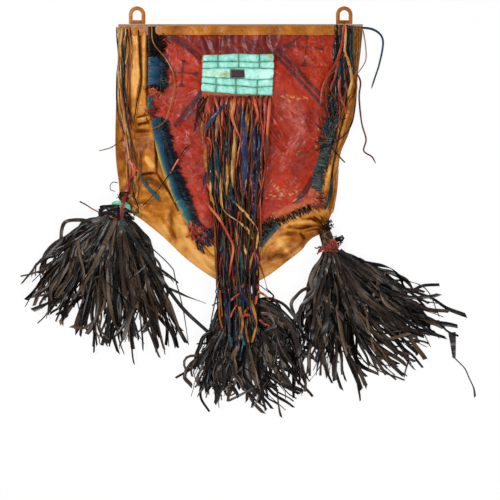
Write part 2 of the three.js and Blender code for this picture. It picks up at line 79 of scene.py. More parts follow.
# A smooth line through a few points, as evenly spaced ones.
def smoothLine(points, count):
    p = np.asarray(points, float)
    p = np.vstack([2 * p[0] - p[1], p, 2 * p[-1] - p[-2]])
    t = np.linspace(0, len(p) - 3, 14 * len(p))
    k = np.minimum(t.astype(int), len(p) - 4)
    u = (t - k)[:, None]
    a, b, c, d = (p[k + i] for i in range(4))
    line = 0.5 * (2 * b + (c - a) * u + (2 * a - 5 * b + 4 * c - d) * u ** 2 + (3 * b - 3 * c + d - a) * u ** 3)
    return evenly(line, count)


def planLine(points, count):
    return smoothLine(onPlan(points), count)


# How far each point is from a line, and which share of the line is nearest.
def nearLine(x, y, line):
    run = runOf(line)
    run /= run[-1]
    best = np.full(x.shape, 1e9)
    share = np.zeros(x.shape)
    for i in range(len(line) - 1):
        (ax, ay), (dx, dy) = line[i], line[i + 1] - line[i]
        t = clipped(((x - ax) * dx + (y - ay) * dy) / (dx * dx + dy * dy))
        away = np.hypot(x - ax - dx * t, y - ay - dy * t)
        closer = away < best
        best = np.where(closer, away, best)
        share = np.where(closer, run[i] + t * (run[i + 1] - run[i]), share)
    return best, share


# Which way a path runs at each of its points.
def headingOf(path):
    run = np.gradient(path, axis=0)
    return run / np.maximum(np.linalg.norm(run, axis=1, keepdims=True), 1e-9)


# A path in even steps from a start, each with its own heading.
def wander(start, heading, length):
    steps = np.stack([np.cos(heading), np.sin(heading)], -1) * length / (len(heading) - 1)
    return start + np.cumsum(steps, axis=0)


def clipped(t):
    return np.clip(t, 0, 1)


def smooth(t):
    t = clipped(t)
    return t * t * (3 - 2 * t)


def bell(away, half):
    return np.exp(-(away / half) ** 2)


# Smooth noise from about -1 to 1, with bumps of the given size.
def ripple(x, y, size, seed):
    x, y = x / size, y / size
    xi, yi = np.floor(x), np.floor(y)
    fx, fy = x - xi, y - yi

    def corner(ox, oy):
        turn = np.sin((xi + ox) * 127.1 + (yi + oy) * 311.7 + seed * 74.7) * 43758.5453
        turn = 2 * np.pi * (turn - np.floor(turn))
        return np.cos(turn) * (fx - ox) + np.sin(turn) * (fy - oy)

    sx, sy = (f ** 3 * (f * (f * 6 - 15) + 10) for f in (fx, fy))
    low = corner(0, 0) + (corner(1, 0) - corner(0, 0)) * sx
    high = corner(0, 1) + (corner(1, 1) - corner(0, 1)) * sx
    return 1.5 * (low + (high - low) * sy)


# A sum of ripples, each given by its amount, size and seed.
def ripples(x, y, layers):
    return sum(amount * ripple(x, y, size, seed) for amount, size, seed in layers)


# Fine crests between smooth dips.
def crests(x, y, size, seed):
    return clipped(1 - 1.8 * np.abs(ripple(x, y, size, seed))) ** 2


# Running mean along a line, for a thong that bridges dips.
def bridged(z, reach):
    kernel = np.hanning(2 * reach + 3)[1:-1]
    padded = np.pad(z, reach, mode="edge")
    return np.convolve(padded, kernel / kernel.sum(), mode="valid")


def stacked(x, y, z):
    return np.stack([x, y, z], -1)


# Shapes of the pouch and of the red panel on it, as outlines on the plan from the mouth down to the tip
pouch = {
    "left": [
        (117.2, 26.1), (116.7, 60), (115, 100), (114.4, 150), (117.8, 182.2), (121.1, 205), (140, 218.9),
        (162.8, 237.2), (187.2, 260), (216.1, 280), (237.8, 287.8)],
    "right": [
        (363.9, 26.1), (361.1, 53.9), (357.8, 80), (355, 107.8), (350, 131.1), (342.2, 150), (339.4, 165),
        (338.3, 185), (335.8, 203), (334, 211.5), (328.8, 218), (326.4, 228.5), (325, 232.2), (316.5, 235.5),
        (307.8, 242), (304, 248), (296.4, 254.8), (286.7, 262), (272.8, 272.8), (258.9, 281.1), (237.8, 287.8)],
    "mouthY": 250.0, "tipY": -220.6, "leather": 1.6, "seamTop": 3.2, "seamWidth": 1.2, "roll": 74.0,
    "bellyRise": 28.0, "mouthRise": 17.0, "mouthReach": 120.0}
redPanel = {
    "left": [
        (150, 26.1), (150, 100), (156.1, 120), (166.1, 150), (180, 190), (193.9, 220), (207.8, 240),
        (223.9, 253.9), (237.8, 260)],
    "right": [
        (347.2, 26.1), (344.4, 60), (340.6, 90), (335.6, 120), (326.1, 150), (319.4, 180), (315.6, 191.7),
        (305, 201.1), (290, 206.7), (271.7, 216.1), (262.2, 230.6), (253.3, 248.3), (237.8, 260)],
    "tipY": -170.6, "gap": 0.8}
leftSeam, rightSeam = (planLine(pouch[side], 70) for side in ("left", "right"))
leftRed, rightRed = (planLine(redPanel[side], 60) for side in ("left", "right"))


def edgeAt(line, y):
    return np.interp(-y, -line[:, 1], line[:, 0])


# Folds and creases in the leather: points on the plan, height (below zero a crease) and half width in mm
tanFolds = [
    ([(119, 22), (119, 60), (118.5, 100), (121, 150)], 2.4, 3.6),
    ([(125.5, 22), (126, 70), (127.5, 118)], 2.6, 2.6), ([(133, 22), (133.5, 70), (134.5, 108)], 4.2, 7.5),
    ([(144.5, 22), (144.5, 70), (143.8, 104)], 3.6, 4.8),
    ([(122.4, 20), (122.4, 60), (123, 118), (125, 160)], -1.8, 2.0),
    ([(128.6, 20), (128.2, 70), (130, 116)], -2.4, 1.8),
    ([(139.2, 20), (140.8, 60), (141.8, 78), (138.4, 98), (136, 112)], -4.4, 1.9),
    ([(147.6, 20), (147.8, 70), (148.2, 112)], -4.0, 2.0),
    ([(137, 117.8), (143, 116.6), (150, 115.8)], -4.6, 1.1), ([(138, 121), (143, 119.6), (150, 119)], 3.4, 2.4),
    ([(137, 125), (143, 124), (150, 122.6)], -3.8, 1.2), ([(136, 128.6), (142, 127.6), (150, 127)], 2.8, 2.4),
    ([(134, 132), (142, 131.6), (151, 131.6)], -3.4, 1.6),
    ([(155.4, 128), (156.4, 150), (157.2, 174)], -4.0, 1.4),
    ([(157, 173), (149, 173.6), (141, 175)], -3.6, 1.5),
    ([(157, 173), (162, 181), (168.6, 191), (174, 200), (179, 211)], -3.6, 1.5),
    ([(150, 148), (146, 158), (152, 169)], 2.6, 6.0), ([(142, 186), (152, 181), (165, 190)], -2.2, 4.5),
    ([(141, 178), (150, 177), (158, 181)], 2.0, 3.0), ([(124, 205), (134, 197), (141, 184)], -3.2, 3.0),
    ([(124, 206), (140, 203), (156, 206)], -2.6, 3.4), ([(123, 203), (128, 190), (130, 170)], -3.0, 3.2),
    ([(126, 208), (140, 212), (156, 222)], 2.6, 4.6), ([(172, 206), (170.6, 222), (174, 240)], -3.0, 4.2),
    ([(180, 214), (182, 230), (188, 244)], 3.2, 6.0), ([(162, 206), (162, 220), (167, 234)], 2.2, 6.0),
    ([(196, 238), (201, 252), (206, 264)], -2.6, 5.0), ([(154, 196), (152, 210), (156, 222)], 2.4, 7.0),
    ([(212, 262), (220, 268), (230, 276)], 2.0, 5.0), ([(198, 244), (205, 254), (214, 258)], -2.6, 2.8),
    ([(202, 252), (209, 262), (217, 268)], 2.4, 4.2),
    ([(186, 223), (196, 237), (205, 248), (218, 261)], -3.8, 1.3),
    ([(204, 262), (212, 270), (222, 275)], -2.2, 3.0), ([(184, 238), (190, 250), (200, 262)], 1.8, 4.5),
    ([(158, 212), (164, 224), (176, 240)], -2.2, 3.2),
    ([(325, 231), (316.5, 225.6), (302, 228), (287, 228)], -4.2, 1.7),
    ([(325, 229), (316, 222), (300, 223), (288, 224)], 3.4, 3.6),
    ([(325, 231.5), (322.6, 223), (312, 215.6)], -4.6, 1.2),
    ([(325.4, 231), (325, 222), (319, 214)], -4.2, 1.2),
    ([(299.4, 232.6), (303, 236.4), (307.4, 241.4)], -4.6, 1.0),
    ([(303.5, 232.5), (306, 236), (309, 239)], 3.2, 2.2),
    ([(325, 229.5), (320, 223), (311, 219), (300, 219)], -3.8, 1.2),
    ([(324, 231), (317, 229), (306, 231)], -3.4, 1.2), ([(278, 236), (290, 233.6), (302, 236)], -2.8, 2.2),
    ([(280, 240), (290, 237.5), (299, 240)], 2.6, 3.6),
    ([(306, 242), (299, 248), (288, 255), (276, 259)], -2.6, 2.6),
    ([(272, 252), (280, 247), (286, 242)], 3.8, 5.0), ([(268, 262), (276, 256), (286, 254)], -2.8, 3.2),
    ([(268, 240), (262, 252), (256, 266)], 2.2, 4.5),
    ([(350, 60), (347, 100), (338, 140), (332.8, 170), (331.5, 196), (327, 222)], -5.0, 1.7),
    ([(345, 80), (341, 120), (333, 150), (326.5, 184), (324, 206)], 4.2, 5.0),
    ([(356, 60), (352, 100), (342.5, 145), (335.8, 180), (333, 206)], 3.6, 3.4)]
redFolds = [
    ([(170, 78), (162, 90), (155, 101)], -3.4, 2.2), ([(155, 101), (164, 106), (172, 118)], -2.2, 2.4),
    ([(186, 52), (196, 60), (204, 72)], 1.8, 3.0), ([(176, 58), (188, 66), (202, 70)], 1.6, 2.6),
    ([(174, 88), (184, 84), (200, 82)], 1.6, 2.6), ([(196, 20), (206, 40), (210, 54)], -2.6, 3.2),
    ([(216, 18), (219, 38), (218, 52)], -2.8, 3.0), ([(228, 16), (230, 36), (233, 52)], 2.6, 3.4),
    ([(243, 20), (241, 38), (244, 53)], -2.6, 2.8), ([(256, 18), (258, 36), (254, 53)], 2.4, 3.2),
    ([(268, 22), (266, 40), (270, 52)], -2.8, 3.0), ([(283, 24), (279, 42), (274, 55)], 2.2, 3.0),
    ([(269, 116), (275, 130), (283, 142)], -3.4, 3.0), ([(275, 121), (281, 133), (286, 150)], 2.8, 3.4),
    ([(270, 100), (271, 118), (277, 136)], 2.0, 3.4), ([(296, 141), (289, 150), (284, 163)], 2.8, 3.6),
    ([(290, 138), (284, 148), (279, 160)], -2.6, 3.4), ([(312, 150), (298, 166), (288, 182)], -1.8, 5.5),
    ([(300, 100), (306, 116), (302, 134)], 2.4, 8.0), ([(282, 70), (298, 88), (320, 104)], -1.4, 6.0),
    ([(160, 66), (172, 78), (196, 84)], 1.4, 6.0), ([(160, 106), (176, 96), (200, 92)], -1.6, 5.0),
    ([(168, 118), (184, 128), (196, 146)], -1.8, 5.0), ([(186, 118), (192, 150), (196, 180)], 1.8, 6.0),
    ([(176, 140), (184, 160), (196, 176)], -1.6, 5.0), ([(188, 180), (198, 200), (204, 222)], 2.0, 6.0),
    ([(283, 184), (276, 196), (268, 210)], -1.6, 6.0), ([(306, 172), (300, 186), (290, 196)], 1.8, 5.0),
    ([(283, 107), (290, 115), (298, 124)], 3.0, 2.8), ([(279, 111), (286, 120), (293, 129)], -2.2, 2.2),
    ([(302, 132), (296, 142), (290, 152)], 3.0, 2.6), ([(306, 137), (300, 147), (294, 157)], -2.2, 2.2),
    ([(273, 139), (279, 146), (286, 153)], -2.8, 2.0)]
crease = {"fade": 0.6, "round": 1.2, "shoulder": 0.45, "shoulderAt": 2.2, "shoulderWidth": 1.4}


# A crest is a bell and a crease is a groove with shoulders. Both fade at their ends.
def foldSum(x, y, folds):
    z = np.zeros(x.shape)
    for points, height, width in folds:
        away, share = nearLine(x, y, planLine(points, 18))
        fade = np.sin(np.pi * np.clip(share, 0.02, 0.98)) ** crease["fade"]
        if height > 0:
            z += height * fade * bell(away, width)
        else:
            shoulder = bell(away - crease["shoulderAt"] * width, crease["shoulderWidth"] * width)
            blend = max(crease["round"], 0.5 * width)
            groove = np.exp(-(np.hypot(away, blend) - blend) / width)
            z += height * fade * (groove - crease["shoulder"] * shoulder)
    return z


def pouchInside(x, y):
    return np.minimum(nearLine(x, y, leftSeam)[0], nearLine(x, y, rightSeam)[0])


# Height of the pouch's front over the floor, before and after the folds.
def bellyTop(inside, y):
    fromMouth = smooth((pouch["mouthY"] - y) / pouch["mouthReach"])
    rise = pouch["mouthRise"] + (pouch["bellyRise"] - pouch["mouthRise"]) * fromMouth
    return pouch["seamTop"] + rise * np.sin(clipped((inside - pouch["seamWidth"]) / pouch["roll"]) * np.pi / 2)


tanRelief = {"broad": [(1.5, 95, 1), (0.8, 42, 2)], "fine": [(0.55, 17, 3), (0.3, 8, 4)], "folds": 1.5,
             "crests": 1.4, "lowCrests": 1.3, "rim": 0.5, "crumple": 4.2, "crumpleAt": (143, 122), "crumpleReach": 19}


def frontTop(x, y, folded=True):
    inside = pouchInside(x, y)
    calm = smooth((inside - 2) / 16)
    z = bellyTop(inside, y) + calm * ripples(x, y, tanRelief["broad"])
    if folded:
        z += tanRelief["folds"] * smooth((inside - 1) / 12) * foldSum(x, y, tanFolds)
        z += calm * ripples(x, y, tanRelief["fine"])
        z += calm * clipped(0.5 + ripple(x, y, 60, 7)) * tanRelief["crests"] * crests(x, y * 0.8, 32, 8)
        crumpleX, crumpleY = onPlan(tanRelief["crumpleAt"])
        crumple = bell(np.hypot(x - crumpleX, y - crumpleY), tanRelief["crumpleReach"])
        z += tanRelief["crumple"] * crumple * (np.abs(ripple(x, y * 1.6, 9, 5)) - 0.25)
        z += tanRelief["rim"] * (1 - calm) * ripple(x, y, 26, 6)
        z += tanRelief["lowCrests"] * calm * smooth((-50 - y) / 50) * crests(x, y * 1.2, 21, 9)
    return z


def redInside(x, y):
    within = (x > edgeAt(leftRed, y)) & (x < edgeAt(rightRed, y)) & (y > redPanel["tipY"])
    away = np.minimum(nearLine(x, y, leftRed)[0], nearLine(x, y, rightRed)[0])
    return np.where(within, away, -away)


# Ornament: its place in mm, its sewn lines from left to right and from the bottom up, and the places on the plan
# of its sides, pinches and window
ornament = {
    "left": -67.5, "right": 59.5, "low": 122.0, "high": 197.0, "lift": 34.3,
    "lines": [
        [92.6, 94.2, 95.8, 96.0, 97.0], [84.2, 86.5, 87.0, 88.7, 87.4], [78.2, 79.3, 79.7, 81.3, 80.1],
        [70.2, 69.4, 69.4, 69.6, 70.3], [63.2, 63.0, 63.0, 63.9, 62.6], [56.4, 56.1, 54.7, 56.0, 55.2]],
    "leftEdge": [201.6, 202.0, 202.6, 203.2, 203.6, 203.8],
    "rightEdge": [272.2, 272.6, 273.0, 274.0, 273.8, 273.4], "upperPinch": (218.4, 239.1, 259.6),
    "lowerPinch": (216.3, 236.1, 257.2), "window": (230.6, 71.0, 244.6, 79.3)}
redRelief = {"fine": [(0.5, 24, 11), (0.3, 11, 12)], "crests": 2.0, "fineCrests": 0.5, "calmUnder": 4}


# Share of wrinkles and height of their crests on the red panel.
def redWrinkles(x, y):
    return clipped(0.5 + ripple(x, y, 48, 14)), crests(x, y * 0.7, 28, 13)


# Height of the red panel's outer face: it is calm under the ornament.
def redTop(x, y):
    inside = np.maximum(redInside(x, y), 0)
    z = frontTop(x, y, False) + redPanel["gap"] + pouch["leather"]
    besideX = np.maximum(ornament["left"] - x, x - ornament["right"])
    besideY = np.maximum(ornament["low"] - redRelief["calmUnder"] - y, y - ornament["high"])
    free = smooth(np.maximum(besideX, besideY) / 10 + 0.1) * smooth(inside / 8)
    z += free * (foldSum(x, y, redFolds) + ripples(x, y, redRelief["fine"]))
    wrinkled, crest = redWrinkles(x, y)
    z += free * wrinkled * (redRelief["crests"] * crest + redRelief["fineCrests"] * crests(x * 0.8, y, 12, 15))
    return z


# A fine map of what the thongs lie on
lay = {"x": (-240.0, 236.0), "y": (-236.0, 262.0), "cell": 2.0}
layX, layY = (np.arange(lay[axis][0], lay[axis][1] + 1, lay["cell"]) for axis in "xy")
gridX, gridY = np.meshgrid(layX, layY)
onPouch = (gridX > edgeAt(leftSeam, gridY)) & (gridX < edgeAt(rightSeam, gridY))
onPouch &= (gridY > pouch["tipY"]) & (gridY < pouch["mouthY"])
layMap = np.where(onPouch, frontTop(gridX, gridY), 0.0)
layMap = np.where(redInside(gridX, gridY) > 0, np.maximum(layMap, redTop(gridX, gridY)), layMap)


def layHeight(x, y):
    u = np.clip((x - layX[0]) / lay["cell"], 0, len(layX) - 1.001)
    v = np.clip((y - layY[0]) / lay["cell"], 0, len(layY) - 1.001)
    i, j = u.astype(int), v.astype(int)
    fu, fv = u - i, v - j
    lower = layMap[j, i] * (1 - fu) + layMap[j, i + 1] * fu
    upper = layMap[j + 1, i] * (1 - fu) + layMap[j + 1, i + 1] * fu
    inMap = (x > layX[0]) & (x < layX[-1]) & (y > layY[0]) & (y < layY[-1])
    return np.where(inMap, lower * (1 - fv) + upper * fv, 0.0)


print("relief ready")


# Shader maths on sockets
class Tone:
    def __init__(self, tree, socket=None):
        self.tree, self.socket = tree, socket

    def make(self, kind, settings=None, inputs=None, out=0):
        node = self.tree.nodes.new(kind)
        for name, value in (settings or {}).items():
            if name == "stops":
                ramp = node.color_ramp
                for _ in range(len(value) - 2):
                    ramp.elements.new(0.5)
                for element, (at, colour) in zip(ramp.elements, value):
                    element.position, element.color = at, (*colour, 1)
            else:
                setattr(node, name, value)
        for name, value in (inputs or {}).items():
            if isinstance(value, Tone):
                self.tree.links.new(value.socket, node.inputs[name])
            else:
                node.inputs[name].default_value = value
        return Tone(self.tree, node.outputs[out])

    def math(self, operation, first, second=0.0):
        return self.make("ShaderNodeMath", {"operation": operation}, {0: first, 1: second})

    def __add__(self, other):
        return self.math("ADD", self, other)

    def __sub__(self, other):
        return self.math("SUBTRACT", self, other)

    def __rsub__(self, other):
        return self.math("SUBTRACT", other, self)

    def __mul__(self, other):
        return self.math("MULTIPLY", self, other)

    def __pow__(self, other):
        return self.math("POWER", self, other)

    __radd__, __rmul__ = __add__, __mul__

    def clamped(self):
        return self.make("ShaderNodeClamp", None, {"Value": self})

    def mix(self, first, second):
        return self.make("ShaderNodeMix", {"data_type": "RGBA"}, {0: self, 6: first, 7: second}, 2)


# Leather: the colour runs along a ramp by a tint on the mesh plus patches and specks, with marks on top.
def leather(name, look):
    material = bpy.data.materials.new(name)
    material.use_nodes = True
    tree = material.node_tree
    shader = tree.nodes["Principled BSDF"]
    start = Tone(tree)
    place = start.make("ShaderNodeTexCoord", out="Object")

    def noise(scale, detail, distortion=0.0):
        inputs = {"Vector": place, "Scale": scale, "Detail": detail, "Roughness": 0.6, "Distortion": distortion}
        return start.make("ShaderNodeTexNoise", None, inputs)

    def mark(attribute):
        return start.make("ShaderNodeAttribute", {"attribute_name": attribute}, out="Fac")

    patches = noise(look["patch"], 5.0, 0.8)
    specks = noise(look["patch"] * 9, 4.0)
    value = mark("tint") + (patches - 0.5) * look["patchDepth"] + (specks - 0.5) * look["speckDepth"]
    height = noise(look["grain"], 3.0) * 0.06 + noise(look["wrinkle"], 2.5, 1.6)
    if "crease" in look:  # hair lines where the leather has been bent, darkened along them as painted shade
        bent = noise(look["crease"], 1.5, 1.2)
        hairLine = (1 - start.math("ABSOLUTE", bent * 2 - 1)) ** 22.0 * (patches * 2.2 - 0.6).clamped()
        value = value - hairLine * look["creaseShade"]
        height = height - hairLine * look["creaseDepth"]
    colour = start.make("ShaderNodeValToRGB", {"stops": look["ramp"]}, {"Fac": value})
    for attribute, paint, depth in look.get("marks", []):
        broken = (mark(attribute) * (0.55 + specks * 0.9)).clamped() * depth
        colour = broken.mix(colour, (*paint, 1.0))
    tree.links.new(colour.socket, shader.inputs["Base Color"])
    rough = (patches - 0.5) * 0.25 + (specks - 0.5) * 0.3 + look["rough"]
    tree.links.new(rough.clamped().socket, shader.inputs["Roughness"])
    bumpInputs = {"Strength": look["bump"], "Distance": look["bumpHeight"], "Height": height}
    bump = start.make("ShaderNodeBump", None, bumpInputs)
    tree.links.new(bump.socket, shader.inputs["Normal"])
    shader.inputs["Specular IOR Level"].default_value = look["shine"]
    return material


strandLook = {
    "patch": 55.0, "patchDepth": 0.35, "speckDepth": 0.35, "rough": 0.27, "grain": 900.0, "wrinkle": 200.0,
    "bump": 0.5, "bumpHeight": 0.0005, "shine": 0.26}
sheetLook = {
    "patch": 24.0, "patchDepth": 0.95, "speckDepth": 0.34, "rough": 0.3, "grain": 620.0, "wrinkle": 38.0,
    "bump": 0.7, "bumpHeight": 0.0034, "shine": 0.34, "crease": 20.0, "creaseShade": 0.16, "creaseDepth": 0.22}
# A ramp's stops are place and colour; a mark is the mesh's attribute, its colour and its strength
looks = {
    "tan_leather": {
        **sheetLook, "wrinkle": 26.0, "rough": 0.34, "shine": 0.19,
        "ramp": [
            (0, (0.1, 0.026, 0.002)), (0.28, (0.25, 0.065, 0.004)), (0.55, (0.44, 0.138, 0.01)),
            (0.85, (0.7, 0.3, 0.055)), (1, (0.77, 0.385, 0.1))],
        # soot: painted shade in the hollows of the folds with a darker line along the seam; flesh: the back of the
        # leather
        "marks": [("soot", (0.07, 0.026, 0.008), 0.85), ("flesh", (0.42, 0.24, 0.12), 0.9)]},
    "red_leather": {
        **sheetLook, "rough": 0.32, "shine": 0.24,
        "ramp": [
            (0, (0.11, 0.007, 0.003)), (0.35, (0.28, 0.015, 0.004)), (0.62, (0.44, 0.027, 0.006)),
            (1, (0.58, 0.075, 0.018))],
        # The dark maroon mark is dye with painted shade and shadow; the pale pink worn mark is wear with painted
        # highlights
        "marks": [
            ("maroon", (0.07, 0.014, 0.016), 0.9), ("worn", (0.58, 0.14, 0.11), 0.6),
            ("paint", (0.04, 0.012, 0.018), 0.88), ("fleck", (0.62, 0.33, 0.09), 0.75),
            ("flesh", (0.3, 0.13, 0.08), 0.9)]},
    "turquoise_leather": {
        **sheetLook, "creaseShade": 0.0, "patch": 60.0, "patchDepth": 0.6,
        "ramp": [
            (0, (0.1, 0.38, 0.3)), (0.4, (0.21, 0.61, 0.48)), (0.72, (0.36, 0.78, 0.66)), (1, (0.6, 0.93, 0.83))],
        # soot: dark sewn lines with painted shade in the grooves and painted shadow at the edges; stain and knot are
        # the leather's own
        "marks": [
            ("stain", (0.3, 0.35, 0.06), 0.95), ("soot", (0.02, 0.045, 0.035), 0.95),
            ("knot", (0.42, 0.11, 0.03), 1.0)]},
    "orange_leather": {
        **strandLook,
        "ramp": [
            (0, (0.03, 0.012, 0.008)), (0.35, (0.3, 0.042, 0.016)), (0.65, (0.46, 0.09, 0.026)),
            (1, (0.6, 0.17, 0.06))]},
    "blue_leather": {
        **strandLook, "shine": 0.08,
        "ramp": [
            (0, (0.005, 0.007, 0.009)), (0.3, (0.007, 0.02, 0.036)), (0.56, (0.012, 0.05, 0.105)),
            (0.72, (0.025, 0.1, 0.13)), (0.84, (0.13, 0.14, 0.06)), (1, (0.44, 0.31, 0.085))]},
    "teal_leather": {
        **strandLook, "shine": 0.1,
        "ramp": [
            (0, (0.005, 0.012, 0.014)), (0.45, (0.014, 0.055, 0.068)), (0.8, (0.03, 0.13, 0.15)),
            (1, (0.3, 0.27, 0.09))]},
    "dark_teal_leather": {
        **strandLook,
        "ramp": [
            (0, (0.004, 0.006, 0.007)), (0.4, (0.012, 0.022, 0.027)), (0.75, (0.028, 0.056, 0.054)),
            (1, (0.085, 0.11, 0.085))]},
    "ochre_leather": {
        **strandLook,
        "ramp": [
            (0, (0.07, 0.026, 0.005)), (0.4, (0.26, 0.09, 0.012)), (0.75, (0.44, 0.195, 0.03)),
            (1, (0.64, 0.38, 0.11))]},
    "navy_leather": {
        **strandLook,
        "ramp": [
            (0, (0.004, 0.005, 0.008)), (0.4, (0.008, 0.015, 0.032)), (0.75, (0.009, 0.019, 0.068)),
            (1, (0.02, 0.042, 0.12))]},
    "thong_red": {
        **strandLook,
        "ramp": [
            (0, (0.02, 0.006, 0.006)), (0.25, (0.12, 0.014, 0.01)), (0.55, (0.32, 0.038, 0.024)),
            (0.8, (0.5, 0.085, 0.024)), (1, (0.6, 0.18, 0.09))]},
    "green_leather": {
        **strandLook, "ramp": [(0, (0.03, 0.17, 0.1)), (0.5, (0.11, 0.45, 0.26)), (1, (0.26, 0.66, 0.46))]},
    "black_leather": {
        **strandLook, "rough": 0.28, "patch": 30.0, "shine": 0.3,
        "ramp": [
            (0, (0.0022, 0.0015, 0.0014)), (0.3, (0.0075, 0.0052, 0.0044)), (0.5, (0.019, 0.0155, 0.0155)),
            (0.72, (0.042, 0.024, 0.016)), (1, (0.11, 0.07, 0.04))]},
    "window_leather": {
        **strandLook, "shine": 0.1, "ramp": [(0, (0.025, 0.011, 0.013)), (1, (0.085, 0.042, 0.047))]},
    "brown_leather": {
        **strandLook, "shine": 0.07,
        "ramp": [
            (0, (0.005, 0.003, 0.0024)), (0.45, (0.016, 0.008, 0.0055)), (0.8, (0.05, 0.025, 0.013)),
            (1, (0.14, 0.078, 0.038))]}}
materials = {name: leather(name, look) for name, look in looks.items()}
print("materials ready")


def makePiece(name, points, faces, marks, slot, nodes=(), look=None, sharp=50):
    mesh = bpy.data.meshes.new(name)
    mesh.from_pydata((np.asarray(points) * 0.001).tolist(), [], faces)
    mesh.validate()
    for mark, values in marks.items():
        attribute = mesh.attributes.new(mark, "FLOAT", "POINT")
        attribute.data.foreach_set("value", np.asarray(values, np.float32).ravel())
    mesh.shade_smooth()
    mesh.set_sharp_from_angle(angle=math.radians(sharp))
    piece = bpy.data.objects.new(name, mesh)
    bpy.context.scene.collection.objects.link(piece)
    mesh.materials.append(materials[look or slot])
    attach(piece, "root")
    if nodes:
        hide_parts(*nodes)
    return piece


# A closed skin from two grids of points: the outer one, and the one behind it with every few columns only.
def skin(top, under, stride=6):
    rows, columns = top.shape[:2]
    low = under[..., 2].copy()  # behind a crease the thinned grid stays below its bottom
    for k in range(1, stride):
        low[:, k:] = np.minimum(low[:, k:], under[:, :-k, 2])
        low[:, :-k] = np.minimum(low[:, :-k], under[:, k:, 2])
    under = np.concatenate([under[..., :2], low[..., None]], -1)
    kept = np.append(np.arange(0, columns - 1, stride), columns - 1)
    at = np.arange(rows * columns).reshape(rows, columns)
    behind = rows * columns + np.arange(rows * len(kept)).reshape(rows, len(kept))

    def quads(grid):
        return np.stack([grid[:-1, :-1], grid[1:, :-1], grid[1:, 1:], grid[:-1, 1:]], -1).reshape(-1, 4)

    faces = quads(at).tolist() + quads(behind)[:, ::-1].tolist()
    faces += np.stack([at[:-1, 0], behind[:-1, 0], behind[1:, 0], at[1:, 0]], -1).tolist()
    faces += np.stack([at[1:, -1], behind[1:, -1], behind[:-1, -1], at[:-1, -1]], -1).tolist()
    for k, (a, b) in enumerate(zip(kept, kept[1:])):
        faces.append([at[0, b], behind[0, k + 1], behind[0, k], *at[0, a:b]])
        faces.append([at[-1, a], behind[-1, k], behind[-1, k + 1], *at[-1, b:a:-1]])
    return np.concatenate([top.reshape(-1, 3), under[:, kept].reshape(-1, 3)]), faces


# Marks of a skin: values on its outer grid, and one value each for the points behind it.
def skinMarks(points, outer, behind):
    marks = {}
    for mark, values in outer.items():
        rest = np.full(len(points) - values.size, behind.get(mark, 0.0))
        marks[mark] = np.concatenate([values.ravel(), rest])
    return marks


# A grid of points between two outlines, with closer columns at the sides.
def sheetGrid(left, right, high, low, rows, columns, crowd):
    y = np.linspace(high, low, rows)[:, None] * np.ones((1, columns))
    s = np.linspace(0, 1, columns)
    s = (1 - crowd) * s + crowd * (0.5 - 0.5 * np.cos(np.pi * s))
    x = edgeAt(left, y) + (edgeAt(right, y) - edgeAt(left, y)) * s
    return x, y


# Lighter and darker places of the tan leather, partly its own tone and partly painted shade along creases and painted
# highlights on ridges: points on the plan, half width in mm and change of tint
tanTonesAndShade = [
    ([(346, 113), (339.7, 133), (335, 155), (331.5, 170), (328, 180), (323.5, 192)], 6.5, 0.42),
    ([(135, 30), (135.5, 70), (136, 110)], 8.0, 0.2), ([(144.8, 30), (144.8, 70), (144, 110)], 5.5, 0.2),
    ([(150, 154), (148, 162), (153, 170)], 9.0, 0.3), ([(140, 134), (146, 144), (150, 154)], 15.0, -0.28),
    ([(139, 119.6), (149, 118.6)], 3.0, 0.35), ([(139, 125), (149, 123.6)], 2.6, -0.45),
    ([(202, 260), (209, 268), (218, 274)], 12.0, 0.45), ([(196, 244), (203, 252), (211, 256)], 5.0, -0.2),
    ([(146, 180), (156, 184), (164, 187)], 9.0, -0.32), ([(171, 214), (171, 228), (175, 240)], 6.0, -0.3),
    ([(178, 222), (182, 230), (187, 236)], 7.0, 0.1), ([(222, 271), (238, 278), (250, 274)], 17.0, 0.32),
    ([(279, 242), (283, 246), (287, 251)], 6.0, 0.3), ([(272, 256), (294, 246), (312, 230)], 20.0, -0.42),
    ([(314.5, 217), (319, 221), (322.5, 226), (324.5, 230.5)], 1.7, -0.75),
    ([(309, 216.6), (316, 221.5), (321, 227), (324, 231)], 1.4, -0.6),
    ([(288, 227), (297, 225.4), (308, 226), (316, 228.6), (323, 232.6)], 2.4, -0.5),
    ([(276, 229), (290, 232.4), (300, 231)], 4.5, -0.35), ([(281, 243), (284, 247), (287, 251)], 4.5, 0.3),
    ([(350, 60), (347, 100), (338, 140), (332.8, 170), (331.5, 196)], 3.0, -0.35),
    ([(156, 132), (157, 150), (157.2, 173.5)], 1.4, -0.7),
    ([(157, 173.6), (150, 173.8), (142, 175)], 1.3, -0.6),
    ([(157, 173), (162, 181), (168.6, 191), (174, 200), (179, 211)], 1.5, -0.7),
    ([(147, 158), (150, 163), (153, 166)], 4.0, 0.42),
    ([(163, 191), (167, 198), (168.5, 207), (169.5, 215)], 9.0, 0.22),
    ([(188, 243), (195, 250), (203, 257)], 8.0, 0.2), ([(299, 222), (308, 223.4), (316, 225)], 5.5, 0.3),
    ([(286, 217), (300, 214), (314, 214)], 7.0, 0.2)]
shell = {"rows": 290, "sideColumns": 70, "midColumns": 24, "under": 12.0, "sunk": 1.6, "seamSoot": 0.5, "soot": 0.75,
         "tint": 0.5, "tones": [(0.2, 70, 21), (0.14, 25, 22), (0.14, 11, 24)]}
y = np.linspace(pouch["mouthY"], pouch["tipY"], shell["rows"])[:, None]
stops = [edgeAt(leftSeam, y), edgeAt(leftRed, y) + shell["under"],
         edgeAt(rightRed, y) - shell["under"], edgeAt(rightSeam, y)]
centre = (stops[1] + stops[2]) / 2
stops[1], stops[2] = np.minimum(stops[1], centre - 1), np.maximum(stops[2], centre + 1)
counts = (shell["sideColumns"], shell["midColumns"], shell["sideColumns"])
